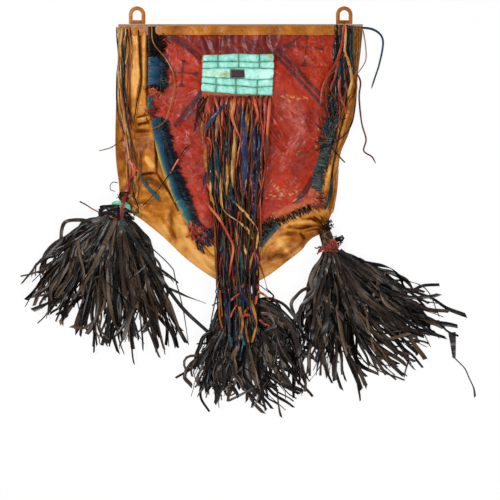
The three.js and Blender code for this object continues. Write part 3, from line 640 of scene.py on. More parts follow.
spans = [a + (b - a) * np.linspace(0, 1, n, endpoint=False) for a, b, n in zip(stops, stops[1:], counts)]
x = np.concatenate([*spans, stops[3]], axis=1)
y = y + 0 * x
inside, inRed = pouchInside(x, y), redInside(x, y)
z = frontTop(x, y) - shell["sunk"] * smooth(inRed / 7)
points, faces = skin(stacked(x, y, z), stacked(x, y, z - pouch["leather"]))
rise = z - bellyTop(inside, y)
# Painted shade: the soot mark darkens the hollows of the folds (hollow) and adds a darker line along the seam
hollow = clipped(-(rise + 0.4) / 3.6)
soot = clipped(shell["seamSoot"] * bell(inside, 1.6) + shell["soot"] * hollow * (inRed < 4))
lit = 0.3 * smooth((-40 - y) / 110) + 0.2 * smooth((y - 70) / 60) * smooth((-120 - x) / 30)
lit -= 0.12 * bell(np.hypot(x + 190, y), 60)
# Painted light and shade in the tint: with lit, lighter towards the tip and the upper left and darker at the middle of
# the left side; raised places a little lighter and dips a little darker
tint = shell["tint"] + lit + ripples(x, y, shell["tones"]) + 0.03 * np.clip(rise, -4, 4)
uneven = 0.8 + 0.5 * ripple(x, y, 14, 23)
for line, half, change in tanTonesAndShade:
    tint += change * bell(nearLine(x, y, planLine(line, 14))[0], half) * uneven
marks = skinMarks(points, {"tint": tint, "soot": soot, "flesh": np.zeros(x.shape)}, {"tint": 0.5, "flesh": 1.0})
frontPanel = makePiece("front_panel", points, faces, marks, "tan_leather", ["front_panel"])

# The back's skin is seen from below, so its inner face comes first
back = {"rows": 70, "columns": 60, "crowd": 0.3, "step": 7.0, "tint": 0.5, "inner": 0.45, "soot": 0.8}
x, y = sheetGrid(leftSeam, rightSeam, pouch["mouthY"] + back["step"], pouch["tipY"] - 0.2,
                 back["rows"], back["columns"], back["crowd"])
z = pouch["leather"] + 0.12 * ripple(x, y, 30, 31)
points, faces = skin(stacked(x, y, z), stacked(x, y, 0.06 + 0.06 * ripple(x, y, 22, 32)), 1)
none = np.zeros(x.size)
tint = back["tint"] + 0.2 * ripple(x, y, 60, 33)
# The back's outer face is darker along its seam
soot = back["soot"] * bell(pouchInside(x, y), 3.0)
marks = {"tint": np.concatenate([none + back["inner"], tint.ravel()]),
         "soot": np.concatenate([none, soot.ravel()]), "flesh": np.concatenate([none + 1, none])}
backPanel = makePiece("back_panel", points, faces, marks, "tan_leather", ["back_panel"])
print("pouch ready")

# Painted lines on the red panel: points on the plan, half widths in mm at both ends and strength
paintLines = [
    ([(170, 36), (186, 46), (204, 62)], (7.4, 4.6), 0.85), ([(184, 34), (197, 46), (209, 57)], (2.4, 1.8), 0.7),
    ([(273, 53), (300, 82), (332, 117)], (3.4, 3.4), 0.95),
    ([(279, 52), (302, 76), (319, 95)], (4.0, 3.6), 0.95),
    ([(272, 56), (282, 48), (296, 40), (312, 24)], (3.4, 2.6), 0.8),
    ([(276, 60), (288, 50), (302, 40)], (1.8, 1.4), 0.7),
    ([(203, 95), (191, 108), (176, 126)], (8.6, 3.4), 0.95),
    ([(203, 106), (193, 114), (180, 125)], (2.4, 2.0), 0.85), ([(183.4, 61), (182.4, 87)], (1.4, 1.4), 0.95),
    ([(173, 73), (197, 75)], (1.3, 1.3), 0.95), ([(306.6, 38), (305.2, 62)], (1.5, 1.5), 0.95),
    ([(288, 46), (322, 49)], (1.5, 1.5), 0.95), ([(312, 179), (305, 191), (295.5, 203)], (5.0, 5.6), 0.95)]
# Flared ends of the crosses: tip, direction on the plan, length and half width
paintEnds = [
    ((183.6, 60.5), (0, 1), 6.0, 3.4), ((182.2, 88.5), (0, -1), 6.0, 3.4), ((198, 75.2), (-1, 0), 6.0, 3.4),
    ((172, 72.9), (1, 0), 3.5, 1.6), ((303.8, 67), (0.08, -1), 6.5, 3.6), ((324, 49.2), (-1, 0), 6.0, 3.4),
    ((287.5, 46), (1, 0), 5.0, 3.0), ((306.8, 36), (0, 1), 5.0, 3.0)]
# Left end of the shade under the right thongs
redShade = [(334, 26), (331, 60), (325, 80), (321, 100), (321, 114), (330, 124), (346, 134), (346, 270)]
# Worn spots, partly painted highlights, and flecked spots: strength, place on the plan, half width and half height in
# steps, seed, size of the breaks
wornAndSheenSpots = [(0.6, 297, 120, 8, 14, 44, 4.0), (0.5, 292, 108, 12, 8, 45, 4.0), (0.7, 243, 46, 4, 5, 46, 9.0),
             (0.5, 170, 96, 14, 8, 47, 9.0), (0.6, 188, 66, 16, 6, 48, 9.0), (0.5, 294, 143, 5, 10, 49, 9.0),
             (0.45, 190, 168, 8, 20, 50, 9.0), (0.8, 203, 228, 7, 7, 51, 9.0), (1.1, 201, 214, 5, 10, 59, 9.0)]
fleckSpots = [(1.0, 286, 193, 16, 5, 52, 3.0), (0.8, 294, 99, 12, 4, 53, 3.0), (0.4, 320, 60, 20, 30, 54, 3.0)]
# Painted highlights along the crests of folds, broken into streaks: line on the plan, half width in mm and strength
crestHighlights = [
    ([(287, 107), (292, 113), (297, 121), (302, 131)], 8.5, 1.2),
    ([(300.5, 134.5), (296, 142), (291, 150.5)], 5.0, 1.1), ([(289, 153), (285, 160), (280, 167)], 5.0, 0.6),
    ([(163, 108), (170, 98), (178, 90)], 6.0, 0.7)]
# Single flecks, from and to
fleckLines = [
    (273.5, 186.3, 275.2, 185.7), (275.8, 189.2, 278.6, 187.5), (277.5, 189.8, 278.6, 191.5),
    (280.4, 192.6, 282.7, 196), (269.5, 195, 271.8, 195.5), (272.9, 196.6, 275.2, 196.6),
    (289.6, 195.5, 293, 193.8), (295.9, 193.2, 297, 190.9), (293, 201.8, 295.9, 199.5),
    (265.4, 198.4, 267.2, 198.9), (317.8, 129, 318.2, 130.5), (317, 139, 317.4, 140.6),
    (315.6, 146, 316, 147.4), (281, 97, 284, 98), (287, 96.5, 290, 97), (291, 98.5, 294, 98),
    (297, 100, 300, 99.4), (304, 98, 307, 99.5), (288, 101, 290, 102.5)]
redSheet = {"rows": 215, "columns": 185, "crowd": 0.15, "thick": 1.3, "ragged": [(0.5, 5, 41), (0.35, 2.6, 42)],
            "tint": 0.42, "tones": [(0.16, 60, 56), (0.1, 22, 57)], "hollow": 0.75, "shade": 0.85}
x, y = sheetGrid(leftRed, rightRed, pouch["mouthY"] - 1, redPanel["tipY"] + 0.8,
                 redSheet["rows"], redSheet["columns"], redSheet["crowd"])
z = redTop(x, y)
points, faces = skin(stacked(x, y, z), stacked(x, y, z - redSheet["thick"]))
ragged = ripples(x, y, redSheet["ragged"])
paint = np.zeros(x.shape)
for line, (half, endHalf), strength in paintLines:
    away, share = nearLine(x, y, planLine(line, 14))
    half = half + (endHalf - half) * share
    paint = np.maximum(paint, strength * smooth((half + 0.7 - away + ragged) / 1.8))
for tip, run, length, half in paintEnds:
    tipX, tipY = onPlan(tip)
    run = np.array([run[0], -run[1]]) / np.hypot(*run)
    along = ((x - tipX) * run[0] + (y - tipY) * run[1]) / (length * plan["step"])
    across = np.abs((x - tipX) * run[1] - (y - tipY) * run[0]) / plan["step"]
    flare = (half * clipped(1 - along) + 0.5 - across + 0.3 * ragged) * (along > -0.02) * (along < 1)
    paint = np.maximum(paint, smooth(flare / 0.8))


def spotSum(x, y, spots):
    total = np.zeros(x.shape)
    for strength, px, py, across, tall, seed, size in spots:
        offX, offY = (x - planX(px)) / (across * plan["step"]), (y - planY(py)) / (tall * plan["step"])
        total += strength * bell(np.hypot(offX, offY), 1.0) * clipped(0.55 + 0.9 * ripple(x, y, size, seed))
    return total


wrinkled, crest = redWrinkles(x, y)
# Wear with painted highlights: the spots, painted highlights on the crests of the wrinkles, and painted highlights
# along the fold crests below
worn = spotSum(x, y, wornAndSheenSpots) + 0.35 * wrinkled * crest * clipped(0.4 + ripple(x, y, 13, 58))
for line, width, strength in crestHighlights:
    line = planLine(line, 14)
    ax, ay = (line[-1] - line[0]) / np.linalg.norm(line[-1] - line[0])
    streak = ripple((ax * x + ay * y) * 0.3, ay * x - ax * y, 4.5, 44)
    worn += strength * bell(nearLine(x, y, line)[0], width) * clipped(0.45 + 1.2 * streak)
fleck = clipped(3.2 * spotSum(x, y, fleckSpots) * (ripple(x, y, 3.6, 55) - 0.2))
for ax, ay, bx, by in fleckLines:
    away = nearLine(x, y, onPlan([(ax, ay), (bx, by)]))[0]
    fleck = np.maximum(fleck, smooth((1.6 - away + ragged) / 1.2))
warm = smooth((x - planX(255)) / 70) * smooth((planY(80) - y + 60) / 90)
tint = redSheet["tint"] + 0.03 * warm + 0.07 * smooth((-55 - x) / 40) + ripples(x, y, redSheet["tones"])
tint -= 0.14 * bell(np.hypot(x - 97, y + 2), 42)
# Dyed dark maroon at the top of the panel
maroon = smooth((y - planY(58)) / 16) * np.exp(-np.abs(x - planX(238)) ** 4 / planX(286) ** 4)
maroon = clipped(maroon * (0.8 + 0.5 * ripple(x, y, 14, 43)))
# Painted shadow along the panel's edge, stronger and narrower at the lower right where the panel lies over the trim
lowRight = smooth((x - 40) / 25) * smooth((20 - y) / 30)
edgeShadow = clipped((0.75 + 0.2 * lowRight) * bell(np.maximum(redInside(x, y), 0), 3.6 - 1.4 * lowRight))
# Painted shade in the hollows of the folds and under the right thongs; the maroon mark joins these and the painted edge
# shadow to the dyed maroon
hollow = clipped(-(foldSum(x, y, redFolds) + 0.7) / 2.4)
shade = smooth((x - edgeAt(onPlan(redShade), y)) / 10)
maroon = np.maximum.reduce([maroon, edgeShadow, redSheet["hollow"] * hollow, redSheet["shade"] * shade])
outer = {"tint": tint, "flesh": np.zeros(x.shape), "paint": paint, "maroon": maroon, "worn": clipped(worn),
         "fleck": fleck}
marks = skinMarks(points, outer, {"tint": 0.4, "flesh": 1.0})
redPiece = makePiece("red_panel", points, faces, marks, "red_leather", ["red_panel"])
print("red panel ready")

# Ornament: a puffed turquoise face of five sewn rows on an orange-red backing
face = {"columns": 130, "rows": 22, "puff": 3.3, "floor": 36.2, "left": 202.8, "across": 70.4, "tint": 0.56,
        "stains": [(0.9, 226, 75.5, 5, 2.6), (0.9, 271, 58.5, 3.5, 3), (0.35, 212, 74, 9, 3)]}
pinches = [(at - face["left"]) / face["across"] for at in ornament["upperPinch"] + ornament["lowerPinch"]]
closer = [np.linspace(at - 0.02, at + 0.02, 11) for at in pinches]
columns = np.unique(np.concatenate([np.linspace(0, 1, face["columns"]), *closer]))
inRow = np.linspace(0, 1, face["rows"], endpoint=False)
inRow = 0.25 * inRow + 0.75 * (0.5 - 0.5 * np.cos(np.pi * inRow))
u, v = np.meshgrid(columns, np.concatenate([*(k + inRow for k in range(5)), [5.0]])[::-1])
row = np.clip(np.floor(v), 0, 4).astype(int)
share = v - row
even = np.linspace(0, 1, 33)
sewn = [bridged(np.interp(even, np.linspace(0, 1, 5), line), 3) for line in ornament["lines"]]
lineAt = np.stack([np.interp(columns, even, line) for line in sewn])
column = np.broadcast_to(np.arange(len(columns)), u.shape)
lowLine, highLine = lineAt[row, column], lineAt[row + 1, column]
swell = clipped(1 - np.abs(2 * share - 1) ** 3) ** 0.55
leftEdge, rightEdge = (np.interp(v, np.arange(6), ornament[side]) for side in ("leftEdge", "rightEdge"))
fromSide = np.minimum(u, 1 - u)
tuck = 0.9 * (1 - swell) * clipped(1 - 9 * fromSide) * np.sign(0.5 - u)
px = leftEdge + u * (rightEdge - leftEdge) + tuck + 0.35 * ripple(v * 3, u * 2, 1.0, 60) * (fromSide < 0.02)
py = lowLine + (highLine - lowLine) * share + 0.22 * ripple(px, row * 9.0, 5.0, 61)
x, y = np.moveaxis(onPlan(np.stack([px, py], -1)), -1, 0)
groove, gather, knot = np.zeros((3, *u.shape))
for pinch, level, rowsHit in (("upperPinch", 4, (3, 4)), ("lowerPinch", 1, (0, 1))):
    hit = np.isin(row, rowsHit)
    for k, at in enumerate(ornament[pinch]):
        off = np.abs(px - at - 0.25 * ripple(v * 2, u, 1.0, 66))
        groove = np.maximum(groove, hit * bell(off, 0.55))
        gather = np.maximum(gather, hit * bell(off, 3.2))
        offKnot = np.abs(px - at) + np.abs(py - np.interp(at, px[0], lineAt[level]))
        knot = np.maximum(knot, smooth((1.5 - offKnot) / 0.5) * (1.0 if k else 0.4))
windowLeft, windowTop, windowRight, windowFoot = ornament["window"]
inWindow = np.minimum.reduce([px - windowLeft, windowRight - px, py - windowTop, windowFoot - py])
seat = smooth((inWindow + 0.5) / 0.7)
ribs = 0.4 * ripple(px, py * 0.25, 2.6, 67) + 0.4 * ripple(px, py, 5, 62)
ribs -= 0.9 * gather * (0.6 + ripple(px, py * 0.15, 1.3, 72))
puff = (face["puff"] + ribs) * swell * (1 - 0.75 * groove)
z = face["floor"] + np.maximum(puff * (1 - 0.85 * seat), 0.05) + 0.5 * ripple(px, py, 22, 68)
gap = np.minimum(share, 1 - share) * np.abs(highLine - lowLine)
# Dark sewn lines between the rows, with painted shade in the pinch grooves and along the window's edge, and a painted
# shadow along the top and right edges (rim)
soot = bell(gap, 0.3 + 0.16 * ripple(px, py, 6, 69)) * (0.75 + 0.3 * ripple(px, py, 9, 70))
rim = np.minimum((5 - v) * 7.5, (1 - u) * 70.0)
soot = np.maximum.reduce([soot, groove ** 2, 0.9 * bell(inWindow, 0.5), 0.8 * bell(rim, 0.35)])
stain = 1.6 * clipped(ripple(px, py, 4.2, 64) - 0.5)
for strength, atX, atY, wide, tall in face["stains"]:
    stain += strength * bell(np.hypot((px - atX) / wide, (py - atY) / tall), 1.0)
# Painted light and shade: the cells are lighter on their puffed middles and darker towards the sewn lines and near the
# pinches
tint = face["tint"] + 0.5 * (swell - 0.75) + 0.26 * ripple(px, py * 0.4, 7, 65) + 0.2 * ripple(px, py, 3, 63)
tint = tint - 0.3 * gather + 0.22 * (row == 2)
points, faces = skin(stacked(x, y, z), stacked(x, y, np.full(x.shape, face["floor"] - 0.2)))
outer = {"tint": tint, "soot": clipped(soot) * (1 - knot), "knot": knot, "stain": clipped(stain)}
rowNodes = [f"ornament_row_{i}" for i in range(1, 6)]
marks = skinMarks(points, outer, {"tint": 0.4})
makePiece("ornament_rows", points, faces, marks, "turquoise_leather", rowNodes, sharp=70)


# A small cushioned rectangle of leather.
def pad(low, high, floor, height, rows, columns, seed):
    u, v = np.meshgrid(np.linspace(0, 1, columns), np.linspace(1, 0, rows))
    rounding = clipped((1 - np.abs(2 * u - 1) ** 6) * (1 - np.abs(2 * v - 1) ** 6)) ** 0.5
    x = low[0] + u * (high[0] - low[0]) + 0.4 * ripple(v * 6, u * 2, 1.0, seed)
    y = low[1] + v * (high[1] - low[1]) + 0.4 * ripple(u * 9, v * 2, 1.0, seed + 1)
    z = floor + height * (0.45 + 0.55 * rounding) + 0.12 * height * ripple(x, y, 6, seed + 2)
    points, faces = skin(stacked(x, y, z), stacked(x, y, np.full(x.shape, floor)))
    return points, faces, skinMarks(points, {"tint": 0.5 + 0.2 * ripple(x, y, 12, seed + 3)}, {"tint": 0.3})


inset = 0.4
low, high = onPlan([(windowLeft + inset, windowFoot - inset), (windowRight - inset, windowTop + inset)])
points, faces, marks = pad(low, high, face["floor"], 1.3, 14, 22, 71)
makePiece("ornament_window", points, faces, marks, "brown_leather", ["ornament_window"], "window_leather")
low = (ornament["left"] - inset, ornament["low"] - 2.6)
high = (ornament["right"] + inset, ornament["high"] - 1.0)
points, faces, marks = pad(low, high, ornament["lift"], 1.6, 60, 80, 75)
makePiece("ornament_backing", points, faces, marks, "orange_leather", ["ornament_backing"])
print("ornament ready")


# Many cut strips of leather as one mesh. The rings are cross-sections in half widths and half thicknesses.
class Strips:
    flat8 = [(-1, 0.4), (-0.62, 1), (0.62, 1), (1, 0.4), (1, -0.4), (0.62, -1), (-0.62, -1), (-1, -0.4)]
    broad = [(-1, 0.2), (-0.85, 1), (-0.6, 1), (-0.3, 1), (0, 1), (0.3, 1), (0.6, 1), (0.85, 1), (1, 0.2),
             (0.85, -1), (-0.85, -1)]
    flat6 = [(-1, 0), (-0.55, 1), (0.55, 1), (1, 0), (0.55, -1), (-0.55, -1)]

    def __init__(self):
        self.points, self.faces, self.tint, self.size = [], [], [], 0

    # path in mm; width and roll may change along it; facing is the way that the flat side looks
    def add(self, path, width, thick, roll=0.0, tint=0.5, skew=0.0, cup=0.0, facing=None, ring=None, sideTint=0.0):
        ring = np.array(ring or self.flat8)
        n, m = len(path), len(ring)

        def along(value):
            return (np.zeros(n) + value)[:, None]

        run = headingOf(path)
        up = np.array([0, 0, 1.0]) * np.ones((n, 1)) if facing is None else np.asarray(facing, float)
        side = np.cross(run, up)
        side /= np.maximum(np.linalg.norm(side, axis=1, keepdims=True), 1e-6)
        out = np.cross(side, run)
        roll, width = along(roll), along(width)
        side, out = np.cos(roll) * side + np.sin(roll) * out, np.cos(roll) * out - np.sin(roll) * side
        across = ring[None, :, 0] * width / 2
        lift = ring[None, :, 1] * thick / 2 + along(cup) * width * ring[None, :, 0] ** 2
        slide = np.zeros((n, m))
        slide[-1] = skew * across[-1]
        body = path[:, None, :] + across[..., None] * side[:, None, :] + lift[..., None] * out[:, None, :]
        body = (body + slide[..., None] * run[:, None, :]).reshape(-1, 3)
        body[:, 2] = np.maximum(body[:, 2], 0.05)
        at = self.size + np.arange(n * m).reshape(n, m)
        after = np.roll(at, -1, axis=1)
        quads = np.stack([at[:-1], after[:-1], after[1:], at[1:]], -1).reshape(-1, 4)
        self.faces.extend(quads.tolist())
        self.faces.append(at[0, ::-1].tolist())
        self.faces.append(at[-1].tolist())
        self.points.append(body)
        self.tint.append((along(tint) + along(sideTint) * ring[None, :, 0]).ravel())
        self.size += n * m

    # a thin strip with its end cut aslant at random
    def cut(self, rng, xy, z, width, thick, roll, tint):
        self.add(stacked(*xy.T, z), width, thick, roll, tint, rng.uniform(-1, 1), ring=self.flat6)

    def build(self, name, slot, nodes=(), look=None, sharp=40):
        marks = {"tint": np.concatenate(self.tint)}
        return makePiece(name, np.concatenate(self.points), self.faces, marks, slot, nodes, look, sharp)


# A slow wavering number along a strip.
def waver(rng, s, size, turns=2.0):
    value = np.zeros(s.shape)
    for k in (1, 2, 3):
        value += rng.normal() / k * np.sin(2 * np.pi * (k * turns * s / 2 + rng.random()))
    return size * value


# Width of a thong that narrows at both its ends.
def blunt(s):
    return clipped(np.minimum(s, 1 - s) / 0.06) ** 0.5 * 0.75 + 0.25


# Tassels: guide lines on the plan from the head to the tips; the strips run between neighbouring guides
tassels = {
    "left": {
        "ear": (121.1, 205.0), "turn": 105.0, "strips": 275, "seed": 5, "width": (3.2, 8.8), "stir": 7.0,
        "wave": 1.6, "kinks": 0.34, "kinds": (0.46, 0.17, 0.23, 0.14),
        "guides": [
            [(106, 212), (84, 226), (54, 246), (22, 268)], [(107, 214), (80, 240), (50, 272), (24, 300)],
            [(109, 216), (86, 250), (62, 290), (42, 324)], [(112, 218), (98, 256), (84, 300), (74, 338)],
            [(116, 219), (110, 260), (104, 308), (97, 348)], [(120, 220), (122, 262), (126, 310), (127, 354)],
            [(124, 220), (131, 258), (142, 302), (153, 350)], [(127, 219), (139, 250), (156, 298), (174, 354)],
            [(129, 217), (141, 244), (159, 284), (186, 336)]]},
    "tip": {
        "ear": (237.8, 287.8), "turn": 88.0, "strips": 270, "seed": 16, "width": (3.2, 7.6), "stir": 8.0,
        "wave": 3.4, "kinks": 0.5, "kinds": (0.48, 0.32, 0.13, 0.07),
        "guides": [
            [(224, 300), (215, 326), (205, 352), (192, 378)], [(226, 304), (215, 340), (208, 370), (202, 392)],
            [(230, 308), (221, 348), (215, 380), (211, 404)], [(235, 310), (230, 348), (228, 378), (230, 402)],
            [(240, 310), (242, 350), (246, 382), (250, 408)], [(245, 309), (257, 344), (271, 382), (282, 410)],
            [(249, 307), (268, 338), (286, 370), (297, 398)], [(252, 304), (275, 322), (294, 352), (303, 384)],
            [(254, 300), (276, 308), (295, 334), (300, 362)]]},
    "right": {
        "ear": (325.0, 232.2), "turn": 72.0, "strips": 280, "seed": 7, "width": (3.2, 8.8), "stir": 7.2,
        "wave": 2.0, "kinks": 0.34, "kinds": (0.44, 0.2, 0.22, 0.14),
        "guides": [
            [(338, 250), (362, 262), (388, 277), (412, 294)], [(339, 252), (370, 274), (404, 297), (437, 320)],
            [(338, 253), (370, 282), (408, 312), (448, 334)], [(336, 255), (364, 292), (398, 328), (436, 348)],
            [(334, 256), (356, 300), (384, 342), (420, 370)], [(333, 257), (348, 304), (370, 348), (398, 380)],
            [(331, 257), (340, 302), (352, 348), (364, 384)], [(328, 257), (330, 300), (334, 346), (338, 386)],
            [(325, 256), (322, 298), (320, 340), (322, 376)], [(324, 254), (317, 288), (311, 328), (311, 372)],
            [(322, 250), (316, 280), (308, 306), (304, 350)]]}}
neck = {"radius": 8.0, "z": 10.7, "visible": {"left": 24.0, "tip": 24.0, "right": 34.0}}
tasselStrip = {"points": 26, "whole": 80, "least": 20, "cutShort": 0.58, "towardsHub": 0.4, "thick": 1.2,
               "stirAlong": (0.28, 0.5, 0.85, 1.0), "tips": ([0.0, 0.4, 0.75], [0.68, 0.22, 0.1]), "twisted": 0.4,
               "kinds": [(0.0, 0.26), (0.42, 0.6), (0.62, 0.8), (0.84, 1.0)]}  # tints of black, grey, brown, olive


def pileHeight(r):
    return np.minimum(20.0, 1850.0 / np.maximum(r, 30.0))


# The part of a path beyond a point, swung round that point.
def kinked(xy, at, swing):
    k = int(at * (len(xy) - 1))
    share = smooth((np.arange(len(xy)) - k) / 2.0) * swing
    step = np.diff(xy, axis=0)
    c, d = np.cos(share[1:]), np.sin(share[1:])
    turned = np.stack([c * step[:, 0] - d * step[:, 1], d * step[:, 0] + c * step[:, 1]], -1)
    return np.concatenate([xy[:1], xy[:1] + np.cumsum(turned, axis=0)])


hubs, bunches = {}, {}
for side, tassel in tassels.items():
    rng = np.random.default_rng(tassel["seed"])
    strips = bunches[side] = Strips()
    turn = math.radians(tassel["turn"])
    axis = np.array([math.cos(turn), -math.sin(turn)])
    ear = onPlan(tassel["ear"])
    hub = ear + axis * (neck["visible"][side] - 3)
    hubs[side] = (ear, axis, np.array([-axis[1], axis[0]]), hub)
    guides = np.array(tassel["guides"], float)
    stir = tassel["stir"] * np.array(tasselStrip["stirAlong"])[:, None]
    s = np.linspace(0, 1, tasselStrip["points"])
    for i in range(tassel["strips"]):
        g = (i + rng.random()) / tassel["strips"] * (len(guides) - 1)
        k = min(int(g), len(guides) - 2)
        line = onPlan(guides[k] + (guides[k + 1] - guides[k]) * (g - k) + rng.normal(size=(4, 2)) * stir)
        line[0] += tasselStrip["towardsHub"] * (hub - line[0])
        kept = int(tasselStrip["whole"] * (1 - tasselStrip["cutShort"] * rng.random() ** 1.7))
        xy = evenly(smoothLine(line, tasselStrip["whole"])[:max(tasselStrip["least"], kept)], len(s))
        run = headingOf(xy)
        sway = waver(rng, s, tassel["wave"], 3.0) * smooth(s / 0.3)
        xy = xy + np.stack([-run[:, 1], run[:, 0]], -1) * sway[:, None]
        if rng.random() < tassel["kinks"]:
            outer = g < 1.6 or g > len(guides) - 2.6
            towards = np.sign(xy[0, 0] - xy[-1, 0]) if outer else rng.choice([-1, 1])
            xy = kinked(xy, rng.uniform(0.35, 0.9), towards * rng.uniform(0.25, 0.85))
        bottom = i % 9 == 0  # some wide ones fill the bunch from below
        layer = rng.random() * (0.15 if bottom else 1.0)
        z = 0.8 + layer * pileHeight(np.linalg.norm(xy - hub, axis=1))
        z += min(rng.exponential(2.6), 9.0) * bell(s - rng.uniform(0.2, 0.85), rng.uniform(0.07, 0.18))
        z += max(0.0, rng.normal() - 0.2) * 4.0 * smooth((s - 0.8) / 0.2)
        tips, shares = tasselStrip["tips"]
        tip = rng.choice(tips, p=shares)
        width = rng.uniform(*tassel["width"]) * (0.6 + 0.4 * smooth(s / 0.25)) * (1 + 0.08 * waver(rng, s, 1.0, 5.0))
        width = width + 6.0 * bottom * np.sin(np.pi * s)
        width = width * (1 - tip * smooth((s - rng.uniform(0.6, 0.9)) / 0.2))
        roll = 0.35 * rng.normal() + waver(rng, s, 0.3, 2.0)
        if rng.random() < tasselStrip["twisted"]:
            twist = rng.choice([-1, 1]) * rng.uniform(0.7, 2.8)
            roll = roll + twist * smooth((s - rng.uniform(0.05, 0.6)) / rng.uniform(0.12, 0.4))
        z = z + 0.34 * width * np.abs(np.sin(roll))
        kind = tasselStrip["kinds"][rng.choice(4, p=tassel["kinds"])]
        tint = rng.uniform(*kind) + waver(rng, s, 0.05, 4.0)
        skew, cup = rng.uniform(-1.5, 1.5), rng.uniform(-0.14, 0.14)
        strips.add(stacked(*xy.T, z), width, tasselStrip["thick"], roll, tint, skew, cup, ring=Strips.flat6)
print("tassel strips ready")

# Single strips that stray from the tassels: points on the plan, width in mm, width at the end as a share, tint
strays = {
    "right": [
        ([(340, 250), (376, 276), (405, 292), (424, 286), (441, 285)], 6.0, 0.9, 0.4),
        ([(338, 252), (380, 280), (418, 293), (434, 299), (449, 309), (468, 316)], 5.0, 1.6, 0.3),
        ([(338, 254), (396, 304), (430, 318), (442, 325), (449, 332), (460, 336.6)], 3.8, 1.0, 0.25),
        ([(453.6, 333), (454.6, 343), (455.8, 359)], 14.0, 0.4, 0.5),
        ([(455.8, 358.4), (461, 363.6), (466.8, 369.8), (471.4, 380), (475.4, 389), (477, 398)], 2.2, 1.9, 0.45),
        ([(324, 262), (315, 292), (301, 307), (299, 330), (300, 357)], 6.5, 0.9, 0.55),
        ([(330, 258), (318, 300), (311, 340), (310, 377)], 6.0, 0.9, 0.7)],
    "tip": [
        ([(232, 312), (212, 345), (195, 366), (175, 379)], 5.0, 0.8, 0.35),
        ([(228, 318), (206, 372), (200, 396), (209, 413)], 5.0, 0.8, 0.2),
        ([(246, 302), (270, 308), (290, 328), (299, 356), (302, 372)], 6.0, 0.9, 0.6),
        ([(245, 300), (262, 303), (284, 318), (297, 340), (301, 362)], 6.0, 0.9, 0.45),
        ([(240, 312), (252, 360), (262, 396), (266, 412)], 5.0, 0.9, 0.85)],
    "left": [
        ([(128, 226), (141, 241), (153, 249), (172, 268), (175, 279), (183, 312), (188, 346)], 2.0, 0.6, 0.4),
        ([(134, 236), (146, 243), (152, 248), (154, 265)], 2.6, 0.9, 0.2),
        ([(136, 246), (150, 262), (164, 272), (178, 283)], 5.0, 0.6, 0.4),
        ([(121, 220), (150, 262), (180, 306), (209, 334)], 7.0, 0.9, 0.5),
        ([(108, 217), (97, 222), (80, 220), (66, 222), (62, 230), (61, 240)], 7.0, 0.9, 0.6),
        ([(116, 220), (96, 262), (74, 300), (58, 324)], 8.0, 0.9, 0.85),
        ([(120, 221), (122, 270), (128, 322), (132, 350)], 8.5, 1.0, 0.72)]}
s = np.linspace(0, 1, 34)
for side, lines in strays.items():
    rng = np.random.default_rng(40 + len(lines))
    for line, wide, endShare, tint in lines:
        xy = planLine(line, len(s))
        flap = wide > 10
        r = np.linalg.norm(xy - hubs[side][3], axis=1)
        z = 1.4 + 1.08 * pileHeight(r) * (1 - smooth((r - 130) / 60))
        z += (0.3 if flap else 1.5) * np.abs(waver(rng, s, 1.0))
        roll = waver(rng, s, 0.08 if flap else 0.4, 2.0)
        z += 0.36 * wide * np.abs(np.sin(roll))
        width = wide * (1 + (endShare - 1) * (s if flap else smooth((s - 0.7) / 0.3)))
        bunches[side].add(stacked(*xy.T, z), width, 1.3, roll, tint, rng.uniform(-1, 1), 0.05)
for side, strips in bunches.items():
    strips.build(f"{side}_tassel_strips", "black_leather", [f"{side}_tassel_strips"])


# A strip wound round a bar: centre line from a to b, wraps, radius.
def wound(strips, rng, a, b, wraps, radius, width, thick, tint):
    s = np.linspace(0, 1, int(18 * wraps) + 1)
    axis = (b - a) / np.linalg.norm(b - a)
    one = np.cross(axis, (0, 0, 1.0))
    one /= np.linalg.norm(one)
    two = np.cross(one, axis)
    angle = 2 * np.pi * wraps * s + rng.random() * 6
    out = np.cos(angle)[:, None] * one + np.sin(angle)[:, None] * two
    radii = radius + waver(rng, s, 0.35, 6.0)
    path = a + (b - a) * s[:, None] + out * radii[:, None]
    strips.add(path, width, thick, 0.0, tint + waver(rng, s, 0.05, 4.0), facing=out)


# A curled tuft: short narrow strips from a patch, springing up and falling over. It stands on a level, or over
# what the thongs lie on.
def tuft(strips, rng, centre, spread, count, length, aim, fan, width, tint, curl, lift, over=0.0, level=None):
    s = np.linspace(0, 1, 11)
    for _ in range(count):
        start = centre + rng.normal(size=2) * spread
        size = length * rng.uniform(0.6, 1.25)
        heading = aim + fan * rng.uniform(-1, 1) + curl * rng.normal() * s ** 1.4
        xy = wander(start, heading, size)
        under = layHeight(*xy.T) + over if level is None else level
        z = under + 1.0 + rng.random() * 2.0 + lift * rng.random() * np.sin(np.pi * s ** 0.8)
        strips.cut(rng, xy, z, rng.uniform(*width) * (1 - 0.4 * s), 1.0, waver(rng, s, 0.5), rng.uniform(*tint))


heads = {
    "left": {"bindSlot": "green_leather", "bindTint": 0.6, "wraps": 2.2, "from": 0.02, "to": 0.45, "top": 1.7,
             "girth": 1.9, "tuftLength": 10.0, "tuftCount": 46, "tuftBack": 13.0, "tuftSide": 0.0, "wrapStrips": 0},
    "tip": {"bindSlot": "brown_leather", "bindTint": 0.5, "wraps": 3.2, "from": 0.25, "to": 0.8, "top": 1.7,
            "girth": 1.9, "tuftLength": 10.0, "tuftCount": 46, "tuftBack": 13.0, "tuftSide": 0.0, "wrapStrips": 0},
    "right": {"bindSlot": "orange_leather", "top": 2.7, "girth": 3.1, "tuftLength": 5.5, "tuftCount": 90,
              "tuftBack": 8.0, "tuftSide": 7.0, "wrapStrips": 34},
}
bar = [(math.cos(a), -math.sin(a)) for a in np.linspace(0, 2 * np.pi, 12, endpoint=False)]


